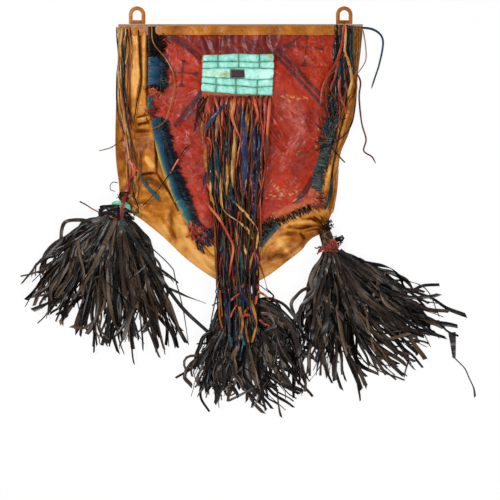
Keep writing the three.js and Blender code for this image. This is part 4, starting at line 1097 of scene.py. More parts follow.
def onNeck(side, share):
    ear, axis = hubs[side][:2]
    return np.array([*(ear + axis * neck["visible"][side] * share), neck["z"]])


# Height of a round neck's upper side, by how far a point is from its middle line.
def neckRound(side, xy, radius):
    ear, _, across = hubs[side][:3]
    return np.sqrt(1 - np.clip(((xy - ear) @ across) / radius, -0.95, 0.95) ** 2)


for side, head in heads.items():
    rng = np.random.default_rng(60 + len(side))
    ear, axis, across = hubs[side][:3]
    core = Strips()
    girth = np.linspace(head["top"], head["girth"], 14) * neck["radius"]
    middle = np.stack([onNeck(side, t) for t in np.linspace(-0.12, 1.12, 14)])
    core.add(middle, girth, 1.76 * neck["radius"], 0.0, 0.7, ring=bar)
    wound(core, rng, onNeck(side, -0.05), onNeck(side, 1.02), 5.2, neck["radius"] + 0.2, 6.2, 1.5, 0.8)
    tuft(core, rng, ear - axis * head["tuftBack"] + across * head["tuftSide"], spread=(4.0, 5.0),
         count=head["tuftCount"], length=head["tuftLength"], aim=math.atan2(-axis[1], -axis[0]), fan=2.6,
         width=(1.6, 2.8), tint=(0.1, 0.95), curl=2.4, lift=4.0, level=15.0)
    for _ in range(head["wrapStrips"]):
        t = np.linspace(rng.uniform(0.0, 0.2), rng.uniform(0.8, 1.15), 12)
        lean = rng.uniform(-0.9, 0.9)
        offMiddle = lean * np.interp(t, [0, 1], [10.5, 13.0])
        xy = ear + axis * (neck["visible"][side] * t)[:, None] + across * offMiddle[:, None]
        z = neck["z"] + 10.5 * math.sqrt(1 - lean ** 2) + waver(rng, t, 0.6)
        core.cut(rng, xy, z, rng.uniform(3.5, 7.0), 1.3, 0.6 * lean, rng.choice([0.4, 0.75, 0.95, 1.05]))
    if side == "right":
        tuft(core, rng, onPlan((338.6, 239.6)), spread=(4.6, 3.2), count=70, length=5.5, aim=0.2, fan=1.8,
             width=(1.4, 2.6), tint=(0.0, 0.6), curl=1.6, lift=3.0, level=8.0)
    core.build(f"{side}_tassel_neck", "brown_leather", [f"{side}_tassel_neck"])
    binding = Strips()
    if "wraps" in head:
        first, last, wraps, tint = head["from"], head["to"], head["wraps"], head["bindTint"]
        wound(binding, rng, onNeck(side, first), onNeck(side, last), wraps, neck["radius"] + 1.7, 6.4, 1.5, tint)
        wound(binding, rng, onNeck(side, first + 0.06), onNeck(side, last - 0.05), wraps - 0.6,
              neck["radius"] + 2.4, 4.4, 1.2, tint + 0.15)
    if side == "left":
        patch = planLine([(112, 204.5), (117, 202.6), (124, 204), (130, 207)], 14)
        z = 17 + 6.5 * np.sin(np.linspace(0, np.pi, 14)) ** 0.6
        binding.add(stacked(*patch.T, z), np.linspace(6, 10, 14), 1.4, 0.1, 0.7, 0.8, -0.03)
    if side == "right":
        for k in range(4):
            patch = planLine([(327.6 + 1.7 * k, 240 + 0.9 * k), (329 + 1.7 * k, 243 + 0.8 * k),
                              (330 + 1.9 * k, 246.5 + 0.6 * k)], 8)
            z = 13.0 + 10.5 * neckRound(side, patch, 14.5)
            binding.cut(rng, patch, z, 2.2, 1.2, 0.1 * k, rng.uniform(0.15, 0.45))
    binding.build(f"{side}_tassel_binding", head["bindSlot"], [f"{side}_tassel_binding"])

# Black rolls over the left tassel's head, a strap's end on them, and the cut red skirt on the right tassel
rng = np.random.default_rng(71)
rolls = Strips()
s = np.linspace(0, 1, 26)
for k in range(11):
    a = onPlan((rng.uniform(97, 107), 208 + k))
    b = onPlan((rng.uniform(123, 134), 209 + k))
    xy = a + (b - a) * s[:, None] + np.stack([0 * s, 4 * np.sin(np.pi * s) + waver(rng, s, 1.8)], -1)
    z = 7 + 15 * np.sin(np.pi * clipped(s * 0.9 + 0.06)) + 0.25 * k
    width, roll, tint = rng.uniform(5, 8.5), waver(rng, s, 0.7), rng.uniform(0.05, 0.5)
    rolls.add(stacked(*xy.T, z), width, 1.4, roll, tint, rng.uniform(-1, 1), 0.16)
rolls.build("left_tassel_rolls", "black_leather")
strapEnd = Strips()
line = planLine([(122, 219), (123.5, 226), (124.5, 235)], 10)
strapEnd.add(stacked(*line.T, np.linspace(27, 20, 10)), 6.0, 1.2, 0.0, 0.55, 0.5)
strapEnd.build("left_strap_end", "teal_leather")
skirt = Strips()
axis = hubs["right"][1]
s = np.linspace(0, 1, 9)
for _ in range(54):
    px = rng.uniform(319.6, 336.0)
    py = 247.5 - 0.4 * (px - 320) + rng.uniform(-2.2, 2.2)
    aim = math.atan2(axis[1], axis[0]) - 0.07 * (329 - px)
    heading = aim + 0.3 * rng.normal() + 0.7 * rng.normal() * s ** 1.5
    xy = wander(onPlan((px, py)), heading, rng.uniform(6, 12))
    z = neck["z"] + 11.5 * neckRound("right", xy, 15.0) + 2.0 + 2.0 * np.sin(np.pi * s * 0.7) + 1.5 * rng.random()
    skirt.cut(rng, xy, z, rng.uniform(1.8, 3.4) * (1 - 0.3 * s), 1.0, waver(rng, s, 0.4), rng.uniform(0.1, 0.75))
skirt.build("right_tassel_skirt", "red_leather", look="thong_red")
neckStrips = {  # slot, middle line on the plan, how many, tints
    "right_neck_green": ("teal_leather", [(326, 235.5), (328.6, 238.5), (330.6, 242)], 4, (0.0, 0.3)),
    "right_neck_ochre": ("ochre_leather", [(331, 237.6), (333, 240.6), (335, 244)], 5, (0.1, 0.5)),
}
for name, (slot, middle, count, tints) in neckStrips.items():
    strips = Strips()
    for k in range(count):
        xy = smoothLine(onPlan(middle) + rng.normal(size=2) * 2.6, 9)
        z = neck["z"] + 12.4 * neckRound("right", xy, 14.5) + 0.3 * k
        strips.cut(rng, xy, z, rng.uniform(2.4, 4.4), 1.2, 0.3 * rng.normal(), rng.uniform(*tints))
    strips.build(name, slot)
print("tassel heads ready")

# Trim bands along the red panel's edge, in parts: middle line on the plan, width, tint with a change across (also
# along the line), and teeth cut on one side; some of the teeth are dark ones
bands = {
    "left_upper_band": {
        "slot": "blue_leather",
        "parts": [
            {"line": [(156, 86.5), (156.6, 74), (156, 57)], "width": 27.0, "tint": 0.48, "shade": (-0.2, -0.26),
             "hairs": (162, 76, 5, 11, 9), "teeth": 110, "length": 8.0, "slant": -0.5, "side": 1,
             "toothTint": 0.3, "tipTint": 0.03}]},
    "left_long_band": {
        "slot": "blue_leather",
        "parts": [
            {"line": [(157.6, 118), (160, 136), (163.8, 155), (170.6, 176), (180.4, 200.6)], "width": 20.5,
             "tint": 0.52, "shade": (0.1, 0.3, 0.58, 0.56, 0.46), "hairs": (165, 126, 9, 10, 14), "teeth": 230,
             "length": 12.0, "slant": -0.6, "side": -1, "toothTint": 0.16, "tipTint": 0.02}]},
    "left_tail_band": {
        "slot": "teal_leather",
        "parts": [
            {"line": [(181.4, 199.6), (187, 213), (192, 227)], "width": 22.0, "tint": 0.6,
             "shade": (0.42, 0.4, 0.3), "endWidth": 0.4, "teeth": 44, "length": 6.0, "slant": -0.4, "side": -1,
             "toothTint": 0.2, "tipTint": 0.05}]},
    "right_long_band": {
        "slot": "dark_teal_leather",
        "parts": [
            {"line": [(340, 40), (336, 70), (331, 112)], "width": 8.0, "tint": 0.12, "shade": (0.0, 0.0),
             "teeth": 60, "length": 12.0, "slant": -0.3, "side": -1, "toothTint": 0.12, "tipTint": 0.0},
            {"line": [
                 (335, 117), (328.6, 126), (327.2, 135), (325.2, 145), (322.3, 155), (319.2, 166), (316.6, 177),
                 (314.4, 190)],
             "width": 22.0, "tint": 0.5, "shade": (0.0, -0.1), "uneven": 0.11, "slits": 150, "frays": 46,
             "teeth": 60, "length": 4.0, "slant": -0.2, "side": -1, "toothTint": 0.5, "tipTint": 0.3}]},
    "right_red_band": {
        "slot": "orange_leather",
        "parts": [
            {"line": [(272.4, 216.2), (280, 212.8), (286, 210), (294, 206.7), (302, 203.4), (311, 199.4)],
             "width": 13.0, "tint": 0.66, "shade": (0.12, 0.12), "teeth": 30, "length": 8.0, "slant": 0.0,
             "side": 1, "toothTint": 0.5, "tipTint": 0.2, "darkTeeth": 64, "darkLength": 13.0},
            {"line": [(308, 203), (310.5, 196), (313, 189)], "width": 11.0, "tint": 0.5, "shade": (0.0, 0.0),
             "teeth": 40, "length": 19.0, "slant": -0.15, "side": 1, "toothTint": 0.56, "tipTint": 0.25,
             "darkTeeth": 16, "darkLength": 19.0}]},
    "right_tail_band": {
        "slot": "dark_teal_leather",
        "parts": [
            {"line": [(260.5, 247), (268, 237), (280, 223.6)], "width": 7.0, "tint": 0.8, "shade": (0.1, 0.1),
             "teeth": 40, "length": 14.0, "slant": 0.2, "side": -1, "toothTint": 0.3, "tipTint": 0.05,
             "darkTeeth": 44, "darkLength": 17.0}]}}


# Short strips cut along one side of a band.
def cutTeeth(strips, rng, part, line, cutSide, dark=False):
    count, length = (part["darkTeeth"], part["darkLength"]) if dark else (part["teeth"], part["length"])
    start, wide = (0.4, (1.3, 2.2)) if dark else (0.2, (1.5, 2.4))
    t = np.linspace(0, 1, 8)
    fade = (part["tipTint"] - part["toothTint"]) * smooth((t - 0.25) / 0.4)
    for k in range(count):
        at = (k + 0.5 * rng.random() + 0.25) / count * (len(line) - 1)
        i = int(min(at, len(line) - 2))
        root = line[i] + (line[i + 1] - line[i]) * (at - i) + cutSide[i] * part["width"] * start
        aim = math.atan2(cutSide[i][1], cutSide[i][0]) + part["slant"] + 0.2 * rng.normal()
        size = (length + part["width"] * (0.5 - start)) * rng.uniform(0.72, 1.15)
        xy = wander(root, aim + 0.45 * rng.normal() * t ** 1.5, size)
        z = layHeight(*xy.T) + 2.9 + 1.6 * rng.random() * np.sin(np.pi * t) + 1.2 * rng.random()
        if dark:
            tint = rng.choice([0.0, 0.1, 0.2, 0.5, 0.95])
        else:
            tint = np.clip(part["toothTint"] + fade + 0.16 * rng.normal(), 0.0, 0.95)
        width = rng.uniform(*wide) * (1 - 0.35 * t)
        strips.add(stacked(*xy.T, z), width, 0.9, waver(rng, t, 0.4), tint, ring=Strips.flat6)


darkTeeth = Strips()
s = np.linspace(0, 1, 34)
for name, band in bands.items():
    rng = np.random.default_rng(len(name) * 7 + len(band["parts"]))
    strips = Strips()
    for part in band["parts"]:
        line = planLine(part["line"], len(s))
        run = headingOf(line)
        cutSide = np.stack([run[:, 1], -run[:, 0]], -1) * part["side"]
        z = bridged(layHeight(*line.T), 4) + 2.0
        width = part["width"] * (1 + part.get("uneven", 0.04) * waver(rng, s, 1.0, 6.0))
        width = width * (1 + (part.get("endWidth", 1.0) - 1) * s ** 2)
        shade = np.interp(s, np.linspace(0, 1, len(part["shade"])), part["shade"])
        roll, tint = waver(rng, s, 0.05, 4.0), part["tint"] + waver(rng, s, 0.06, 5.0)
        strips.add(stacked(*line.T, z), width, 1.5, roll, tint, cup=-0.02, ring=Strips.broad, sideTint=shade)
        cutTeeth(strips, rng, part, line, cutSide)
        for _ in range(part.get("slits", 0)):
            at = rng.uniform(0.25, 1.0) * (len(s) - 1)
            i = int(min(at, len(s) - 2))
            t = np.linspace(rng.uniform(-0.5, -0.2), rng.uniform(0.2, 0.52), 9)
            bow = 1.4 * np.cos(3 * t) + waver(rng, t, 0.5, 1.0)
            xy = line[i] + (line[i + 1] - line[i]) * (at - i)
            xy = xy + cutSide[i] * (t * width[i])[:, None] + run[i] * bow[:, None]
            over = z[i] + 0.75 + 0.1 * rng.random() - 0.02 * width[i] * t ** 2 * 4
            wide, tint = rng.uniform(0.8, 1.8), rng.choice([0.0, 0.05, 0.9])
            strips.add(stacked(*xy.T, over), wide, 0.6, 0.0, tint, ring=Strips.flat6)
        for _ in range(part.get("frays", 0)):
            i = int(rng.uniform(0.0, 0.5) * (len(s) - 1))
            centre = line[i] + cutSide[i] * rng.uniform(-0.55, 0.4) * part["width"]
            tuft(strips, rng, centre, spread=(0.5, 0.5), count=1, length=13.0, aim=rng.uniform(-3.1, 3.1), fan=0.5,
                 width=(1.8, 4.0), tint=(0.0, 0.6), curl=0.6, lift=3.0, over=3.0)
        if "darkTeeth" in part:
            cutTeeth(darkTeeth, rng, part, line, cutSide, dark=True)
        if "hairs" in part:
            hairX, hairY, spreadX, spreadY, count = part["hairs"]
            tuft(strips, rng, onPlan((hairX, hairY)), spread=(spreadX, spreadY), count=count, length=15.0, aim=-0.9,
                 fan=0.8, width=(0.5, 0.8), tint=(0.7, 0.86), curl=0.8, lift=3.0, over=3.0)
    strips.build(name, band["slot"], [name])
darkTeeth.build("right_dark_teeth", "brown_leather")

# Tufts of the trim, each of one or more patches
tufts = {
    "left_top_tuft": {"slot": "brown_leather", "look": None, "seed": 143, "patches": [
        {"centre": (155.5, 47), "spread": (7.5, 8.5), "count": 130, "length": 11.0, "aim": -0.3, "fan": 1.2,
         "width": (1.4, 3.4), "tint": (0.0, 0.22), "curl": 1.6, "lift": 5.0},
        {"centre": (155, 87), "spread": (7.0, 3.0), "count": 44, "length": 9.0, "aim": -1.3, "fan": 0.7,
         "width": (1.2, 2.2), "tint": (0.0, 0.3), "curl": 0.7, "lift": 2.0, "over": 2.0}]},
    "left_middle_tuft": {"slot": "red_leather", "look": "thong_red", "seed": 76, "patches": [
        {"centre": (152, 113), "spread": (4.5, 7.0), "count": 60, "length": 9.0, "aim": -0.2, "fan": 1.2,
         "width": (1.1, 2.0), "tint": (0.0, 0.6), "curl": 1.6, "lift": 5.0},
        {"centre": (152.5, 93), "spread": (5.5, 4.0), "count": 80, "length": 8.0, "aim": 0.2, "fan": 1.6,
         "width": (1.0, 1.9), "tint": (0.5, 1.0), "curl": 1.4, "lift": 3.0, "over": 1.5}]},
    "left_end_tuft": {"slot": "red_leather", "look": "thong_red", "seed": 47, "patches": [
        {"centre": (198.6, 229), "spread": (8.0, 7.0), "count": 34, "length": 17.0, "aim": -1.3, "fan": 0.6,
         "width": (3.6, 6.4), "tint": (0.3, 0.82), "curl": 0.8, "lift": 5.0},
        {"centre": (195, 223), "spread": (6.0, 6.0), "count": 20, "length": 16.0, "aim": -1.1, "fan": 0.5,
         "width": (1.2, 1.9), "tint": (0.05, 0.35), "curl": 0.9, "lift": 6.0}]},
    "left_end_dark_tips": {"slot": "navy_leather", "look": None, "seed": 77, "extra": True, "patches": [
        {"centre": (205, 235), "spread": (8.0, 9.0), "count": 34, "length": 17.0, "aim": -1.3, "fan": 0.7,
         "width": (2.6, 5.0), "tint": (0.0, 0.5), "curl": 0.8, "lift": 3.0, "over": 1.5}]},
}


# A single flat strip laid along a line on the plan.
def laidStrip(strips, points, count, over, width, tint, ring=None):
    line = planLine(points, count)
    strips.add(stacked(*line.T, layHeight(*line.T) + over), width, 1.4, 0.0, tint, ring=ring)


for name, spec in tufts.items():
    rng = np.random.default_rng(spec["seed"])
    strips = Strips()
    for patch in spec["patches"]:
        tuft(strips, rng, **{**patch, "centre": onPlan(patch["centre"])})
    if name == "left_top_tuft":
        laidStrip(strips, [(153.4, 27), (153.6, 42), (153.8, 58)], 16, 2.2, 19.0, 0.06, Strips.broad)
    strips.build(name, spec["slot"], [] if "extra" in spec else [name], spec["look"])
joint = Strips()
laidStrip(joint, [(151.5, 96), (151, 103), (151.5, 110)], 12, 2.6, 9.0, 0.5)
joint.build("left_middle_strip", "teal_leather")
print("trim ready")

# Central fringe: thongs of five colours that hang from under the ornament down over the tip. A colour has flat
# strips (how many, their widest and thinnest, where they are widest, height in the pile), twisted cords and short ones
fringe = {
    "left": [
        (96, 204), (110, 203.6), (125, 206), (150, 208), (190, 208), (215, 213.4), (230, 216), (250, 217),
        (285, 218), (345, 221)],
    "right": [
        (96, 271.6), (112, 268.6), (130, 265.6), (160, 264), (190, 261), (215, 260.4), (240, 259.6),
        (260, 257.6), (285, 257), (310, 258), (345, 260)],
    "start": 96.6, "pile": 9.4, "steps": 44,
    "colours": {
        "fringe_brown": {
            "slot": "brown_leather", "count": 96, "wide": (2.6, 5.0), "thin": 0.6, "wideAt": (0.0, 1.0),
            "layer": (0.0, 0.3), "tint": (0.0, 0.12), "cords": 26, "short": 12, "shortAt": (125, 300),
            "between": (-0.01, 1.01), "end": (286, 342), "late": 0.6, "look": None},
        "fringe_teal": {
            "slot": "teal_leather", "count": 14, "wide": (3.0, 6.0), "thin": 0.3, "wideAt": (0.45, 0.95),
            "layer": (0.2, 0.7), "tint": (0.0, 0.42), "cords": 0, "short": 17, "shortAt": (160, 312),
            "between": (0.02, 0.98), "end": (280, 345), "late": 0.6, "look": None},
        "fringe_navy": {
            "slot": "navy_leather", "count": 18, "wide": (3.4, 6.5), "thin": 0.28, "wideAt": (0.05, 0.9),
            "layer": (0.2, 0.7), "tint": (0.15, 0.6), "cords": 0, "short": 26, "shortAt": (165, 314),
            "between": (0.07, 0.9), "end": (250, 342), "late": 0.6, "look": None},
        "fringe_ochre": {
            "slot": "ochre_leather", "count": 10, "wide": (2.4, 4.4), "thin": 0.34, "wideAt": (0.05, 0.8),
            "layer": (0.2, 0.8), "tint": (0.0, 0.5), "cords": 1, "short": 10, "shortAt": (125, 300),
            "between": (0.0, 1.0), "end": (215, 343), "late": 0.7, "look": None},
        "fringe_red": {
            "slot": "red_leather", "count": 30, "wide": (4.2, 6.4), "thin": 0.36, "wideAt": (0.0, 0.03),
            "layer": (0.3, 0.9), "tint": (0.35, 0.8), "cords": 0, "short": 16, "shortAt": (125, 300),
            "between": (0.0, 1.0), "end": (150, 335), "late": 1.2, "look": "thong_red"}}}
leftY, leftX = np.array(fringe["left"], float).T
rightY, rightX = np.array(fringe["right"], float).T
tipHub = hubs["tip"][3]


# What the fringe lies on: the bag, or the tip tassel's head.
def fringeBase(x, y):
    r = np.hypot(x - tipHub[0], y - tipHub[1])
    mound = 4 + pileHeight(r) * bell(r, 130) + 3 * bell(r, 30)
    return np.maximum(layHeight(x, y), np.where(y < tipHub[1] + 30, mound, 0))


# Single thongs on top: points on the plan, width in mm, tint; they are wide at the start or in the middle, or even
fringeStrays = {
    "fringe_red": [
        ([(209, 98), (208, 110), (206.6, 122), (205, 140)], 5.0, 0.6),
        ([(215, 98), (218, 111), (221, 135), (222, 160)], 5.4, 0.68),
        ([(222, 99), (222.4, 120), (221.6, 140), (224, 165)], 5.4, 0.72),
        ([(228, 98), (226, 112), (230, 126)], 4.6, 0.6),
        ([(234.6, 98), (233.6, 109), (232.4, 119), (236.4, 131), (240.5, 140.5), (238.4, 154), (236, 170)], 8.0,
         0.85),
        ([(243.6, 98), (242.4, 118), (241, 140), (243, 160)], 5.0, 0.66),
        ([(248.6, 99), (251.6, 128), (249.6, 145), (247.6, 160), (246, 180)], 5.0, 0.7),
        ([(253.6, 98), (257.7, 118), (261.7, 138), (260.7, 160), (262, 186)], 6.0, 0.72),
        ([(259.7, 98), (260.7, 118), (262.7, 136), (260, 160)], 6.6, 0.66),
        ([(264.8, 98), (264.8, 121), (263.6, 140), (265, 165)], 6.4, 0.58),
        ([(270, 98), (268, 121), (266.6, 138), (265, 170), (260.4, 198), (261.2, 240)], 5.6, 0.8),
        ([(207, 138.5), (211, 142.5), (211.4, 154.7), (206, 172)], 3.6, 0.7),
        ([(208, 184), (212, 198), (216, 214)], 4.6, 0.8), ([(216, 171), (220, 186), (219, 204)], 3.6, 0.7),
        ([(256.6, 171), (260.7, 189), (258, 212)], 4.4, 0.5),
        ([(250.6, 179), (252.6, 197), (249.8, 212)], 4.4, 0.5),
        ([(205, 201), (213, 211), (220, 220), (229.6, 237.5), (233.5, 247.4), (231, 264), (229.4, 276)], 5.2,
         0.78, True),
        ([(239, 212), (237.3, 226), (239, 240)], 3.0, 0.7),
        ([(255.8, 253), (263.5, 274.6), (267.8, 290), (273.3, 295.6), (270, 298.6)], 3.4, 0.5),
        ([(220, 275), (217.6, 288), (219, 300)], 3.0, 0.95),
        ([(231, 300.4), (234, 297), (239.8, 293)], 3.4, 0.6),
        ([(230.6, 316.6), (233, 310.6), (236.8, 304.6)], 3.4, 0.72), ([(242, 287), (246.4, 280)], 5.4, 0.35),
        ([(246.6, 302), (248.6, 307), (244.6, 312), (248.6, 317.6), (246.4, 325)], 3.8, 0.66),
        ([(243, 316), (248, 314), (251, 317.6)], 4.0, 0.6),
        ([(259.6, 319), (263.4, 323.4), (267.6, 325), (269.8, 327.6)], 4.4, 0.62),
        ([(274.4, 298.6), (278, 305), (281.4, 311)], 2.6, 0.3),
        ([(222, 255), (220, 268), (222, 284)], 3.2, 0.45)],
    "fringe_ochre": [
        ([(235.4, 134), (234.4, 148), (233.2, 164), (232.6, 178), (233.4, 189)], 7.4, 0.72),
        ([(247.4, 106), (247, 122), (246, 142)], 8.0, 0.4),
        ([(204.6, 114), (202.8, 130), (203.6, 146)], 5.8, 0.3),
        ([(206.4, 146), (205.6, 160), (207.4, 174)], 6.6, 0.42),
        ([(219, 106), (218, 124), (216, 144)], 6.6, 0.3), ([(227, 162), (227.6, 178), (226.6, 196)], 5.4, 0.7),
        ([(211, 170), (211, 185), (211.4, 202)], 3.8, 0.85), ([(221, 172), (222, 188), (221, 206)], 4.6, 0.9),
        ([(248, 166), (245, 184), (242.6, 200)], 5.2, 0.85),
        ([(232, 98), (231.2, 108), (230.6, 120)], 5.6, 0.5),
        ([(235.6, 203.6), (243, 211.4), (250, 219), (255, 226)], 5.6, 0.88),
        ([(253.6, 223), (257.4, 230), (258.4, 240)], 2.2, 0.5),
        ([(222.6, 194), (222.6, 205), (225.3, 212.4), (234, 219), (240, 222.4)], 2.6, 0.8),
        ([(238, 221), (244.6, 226.8), (249.4, 233), (252.4, 239.4)], 5.8, 0.88),
        ([(253.4, 252), (247, 271.3), (240, 285)], 6.4, 0.7), ([(243.6, 244), (248.4, 263)], 4.4, 0.9),
        ([(258.4, 232), (256, 250)], 4.4, 0.8), ([(257.4, 270), (254.8, 286.6), (250, 304)], 5.6, 0.7),
        ([(258, 291), (263, 294), (268.4, 298)], 5.0, 0.6), ([(220, 214), (227, 228)], 4.0, 0.6),
        ([(209.6, 192), (215, 206)], 4.8, 0.6), ([(220, 290), (222.4, 316)], 3.6, 0.3),
        ([(236, 228), (238, 246)], 3.4, 0.55),
        ([(213.6, 212), (215.6, 236), (216, 262), (217.6, 290)], 4.4, 0.18),
        ([(251, 300), (256, 322), (252, 342)], 5.4, 0.5), ([(239.4, 306), (242.6, 324), (239, 338)], 5.6, 0.4),
        ([(248.6, 312), (246, 328), (248.4, 342)], 5.0, 0.3),
        ([(219.6, 294), (219.6, 314), (222.4, 328)], 4.0, 0.4)],
    "fringe_teal": [
        ([(216, 144), (217, 158), (218.4, 170), (219, 184)], 7.0, 0.3),
        ([(212, 158), (211, 172), (213.4, 190)], 7.0, 0.25), ([(241, 250), (242, 274)], 5.6, 0.55),
        ([(222.8, 230), (223.8, 252)], 8.0, 0.25), ([(229, 196), (236, 205)], 4.4, 0.5),
        ([(240.6, 332), (244.4, 345)], 5.6, 0.6), ([(229, 334), (232, 346)], 5.6, 0.55),
        ([(232, 180), (231, 192), (233, 206)], 7.0, 0.3), ([(219, 288), (216, 298), (211, 322)], 3.0, 0.5),
        ([(266, 288), (274, 296), (270, 300)], 2.2, 0.1)],
    "fringe_navy": [
        ([(243, 108), (243.4, 128), (244.6, 150), (245, 166), (243.4, 196)], 11.0, 0.82),
        ([(231, 98), (222, 109), (213, 120), (207, 130), (202.6, 140)], 8.0, 0.72),
        ([(254, 124), (254.6, 142), (253.6, 162)], 6.6, 0.66),
        ([(258.4, 128), (259, 146), (257, 166), (256, 190)], 6.4, 0.6),
        ([(251.6, 166), (254, 184), (255.4, 204)], 7.4, 0.5),
        ([(207.6, 166), (205, 182), (202.6, 192)], 5.4, 0.7), ([(226, 134), (227, 150), (229, 166)], 6.0, 0.62),
        ([(254, 200), (252.4, 222)], 7.6, 0.5),
        ([(233.4, 264), (240.6, 286.6), (247, 302), (254.4, 318)], 7.6, 0.56),
        ([(222.8, 282), (226, 308), (225, 332)], 6.0, 0.36),
        ([(230.4, 285), (228.8, 314), (230.4, 342)], 6.0, 0.36),
        ([(242.6, 291), (236.4, 318), (234.6, 340)], 5.6, 0.3), ([(258.6, 317), (267, 333)], 6.0, 0.36),
        ([(234, 214), (237, 236), (235, 262)], 5.0, 0.3), ([(222, 226), (221, 250), (224, 276)], 6.0, 0.34),
        ([(250, 246), (247, 268), (249, 292)], 6.0, 0.3), ([(228, 240), (226.6, 262), (229, 288)], 5.0, 0.26),
        ([(212.4, 305), (218.4, 302)], 2.8, 0.5), ([(214.4, 316), (218.7, 305), (219.8, 296)], 2.6, 0.3)],
    "fringe_brown": [
        ([(206, 99), (199, 112), (196, 124), (195, 132)], 2.4, 0.5),
        ([(204, 98), (198, 108), (202, 120), (206, 126)], 2.6, 0.4),
        ([(203, 99), (197, 116), (200, 130)], 2.2, 0.6),
        ([(208, 98), (203, 108), (199, 118), (194, 126)], 2.2, 0.8),
        ([(257, 283), (264.6, 289), (273.3, 296), (269, 299)], 1.9, 0.1),
        ([(268, 300), (265.7, 310), (261, 316)], 2.0, 0.6),
        ([(273.3, 299.6), (276.8, 305), (276, 310)], 2.0, 0.6),
        ([(217, 288), (215.8, 292), (220, 297)], 1.6, 0.4),
        ([(266.6, 136), (265.4, 170), (262.6, 198)], 2.4, 0.85),
        ([(241, 112), (238, 130), (243, 158), (241, 180)], 2.0, 0.9),
        ([(228, 120), (232, 140), (229, 170), (231, 200)], 2.2, 0.8),
        ([(255, 130), (252, 160), (254, 196)], 2.2, 0.85), ([(247, 200), (246, 224), (248, 250)], 2.2, 0.7)]}
s = np.linspace(0, 1, fringe["steps"])
t = np.linspace(0, 1, 26)
for name, colour in fringe["colours"].items():
    rng = np.random.default_rng(len(name) * 13 + colour["count"])
    strips = Strips()
    red = name == "fringe_red"
    for i in range(colour["count"] + colour["cords"]):
        cord = i >= colour["count"]
        endY = colour["end"][0] + (colour["end"][1] - colour["end"][0]) * rng.random() ** colour["late"]
        py = fringe["start"] + (endY - fringe["start"]) * s
        reach = (endY - fringe["start"]) / 240
        at = rng.random() if cord else (i + rng.random()) / colour["count"]
        drift = np.clip(waver(rng, s, 0.055, 2.4), -0.2, 0.2) * smooth(s / 0.12)
        at = at + reach * (drift + (0.16 if cord else 0.12) * rng.normal() * s)
        low = colour["between"][0] + 0.045 * math.sin(7.1 * i)
        high = colour["between"][1] + 0.045 * math.sin(4.3 * i)
        at = low + np.abs(at - low)  # a strand that reaches the edge turns back
        at = high - np.abs(high - at)
        px = np.interp(py, leftY, leftX) * (1 - at) + np.interp(py, rightY, rightX) * at
        px = px + reach * waver(rng, s, 0.35, 6.0) * smooth(s / 0.1)
        xy = onPlan(np.stack([px, py], -1))
        base = fringeBase(*xy.T)
        base = bridged(np.maximum(base, bridged(base, 3)), 2)
        layer = rng.uniform(0.75, 1.25) if cord else rng.uniform(*colour["layer"])
        rise = fringe["pile"] * np.clip(layer + waver(rng, s, 0.12, 5.0), 0, 1.3)
        loop = max(0.0, rng.normal() - 0.6) * 3.0 * bell(s - rng.random(), 0.06)
        z = base + 1.0 + rise * smooth((py - 97.5) / 8) + loop * smooth((py - 100) / 10)
        if cord:
            width, roll = rng.uniform(1.1, 2.2), 40 * rng.uniform(0.2, 1) * s
            tint = rng.choice([0.0, 0.3, 0.7, 0.95])
        else:
            swell = bell(s - rng.uniform(*colour["wideAt"]), rng.uniform(0.1, 0.22))
            width = rng.uniform(*colour["wide"]) * (colour["thin"] + (1 - colour["thin"]) * swell)
            roll = waver(rng, s, 0.2 + 0.6 * (1 - swell), 4.0)
            tint = rng.uniform(*colour["tint"]) + waver(rng, s, 0.12, 6.0)
        if red:
            tint = tint - 0.22 * smooth((py - 125) / 110)
        else:
            width = width * (0.4 + 0.6 * smooth((py - 100) / 25))
        strips.cut(rng, xy, z, width, 1.5, roll, np.clip(tint, 0.0, 0.98))
    shorts = []
    for _ in range(colour["short"]):
        py, length, lean = rng.uniform(*colour["shortAt"]), rng.uniform(20, 56), 3.0 * rng.normal()
        px = np.interp(py, leftY, leftX) + rng.uniform(4, 46)
        px = min(px, np.interp(py, rightY, rightX) - 1)
        line = [(px, py), (px + 0.5 * lean + rng.normal(), py + 0.5 * length), (px + lean, py + length)]
        shorts.append((line, rng.uniform(*colour["wide"]), rng.uniform(*colour["tint"])))
    for i, (line, wide, tint, *even) in enumerate(shorts + fringeStrays[name]):
        xy = planLine(line, len(t))
        (startX, startY), endX = line[0], line[-1][0]
        offPile = endX < 200 or startX > 255 and startY > 250
        cutEnd = startY > 285
        share = rng.uniform(0.4, 0.8) if i < len(shorts) else rng.uniform(0.95, 1.2)
        py = plan["midY"] - xy[:, 1] / plan["step"]
        above = fringe["pile"] * share * smooth((py - 97) / 7) + (3.0 if even else 0.0)
        z = bridged(fringeBase(*xy.T), 3) + 1.4
        z = z + (above * (1 - smooth(t / 0.6)) if offPile else above + waver(rng, t, 0.4))
        if wide < 3 or even or cutEnd:
            profile = 1 - 0.3 * t
        elif red:
            profile = 1 - 0.68 * smooth(t * 1.5)
        else:
            profile = 0.26 + 0.74 * np.sin(np.pi * t) ** 1.1
        width = wide * profile * (1 if cutEnd else blunt(t))
        roll = waver(rng, t, 0.35, 3.0)
        z = z + 0.2 * wide * np.abs(np.sin(roll))
        strips.cut(rng, xy, z, width, 1.5, roll, tint + waver(rng, t, 0.1, 4.0))
    strips.build(name, colour["slot"], [name], colour["look"])
print("fringe ready")

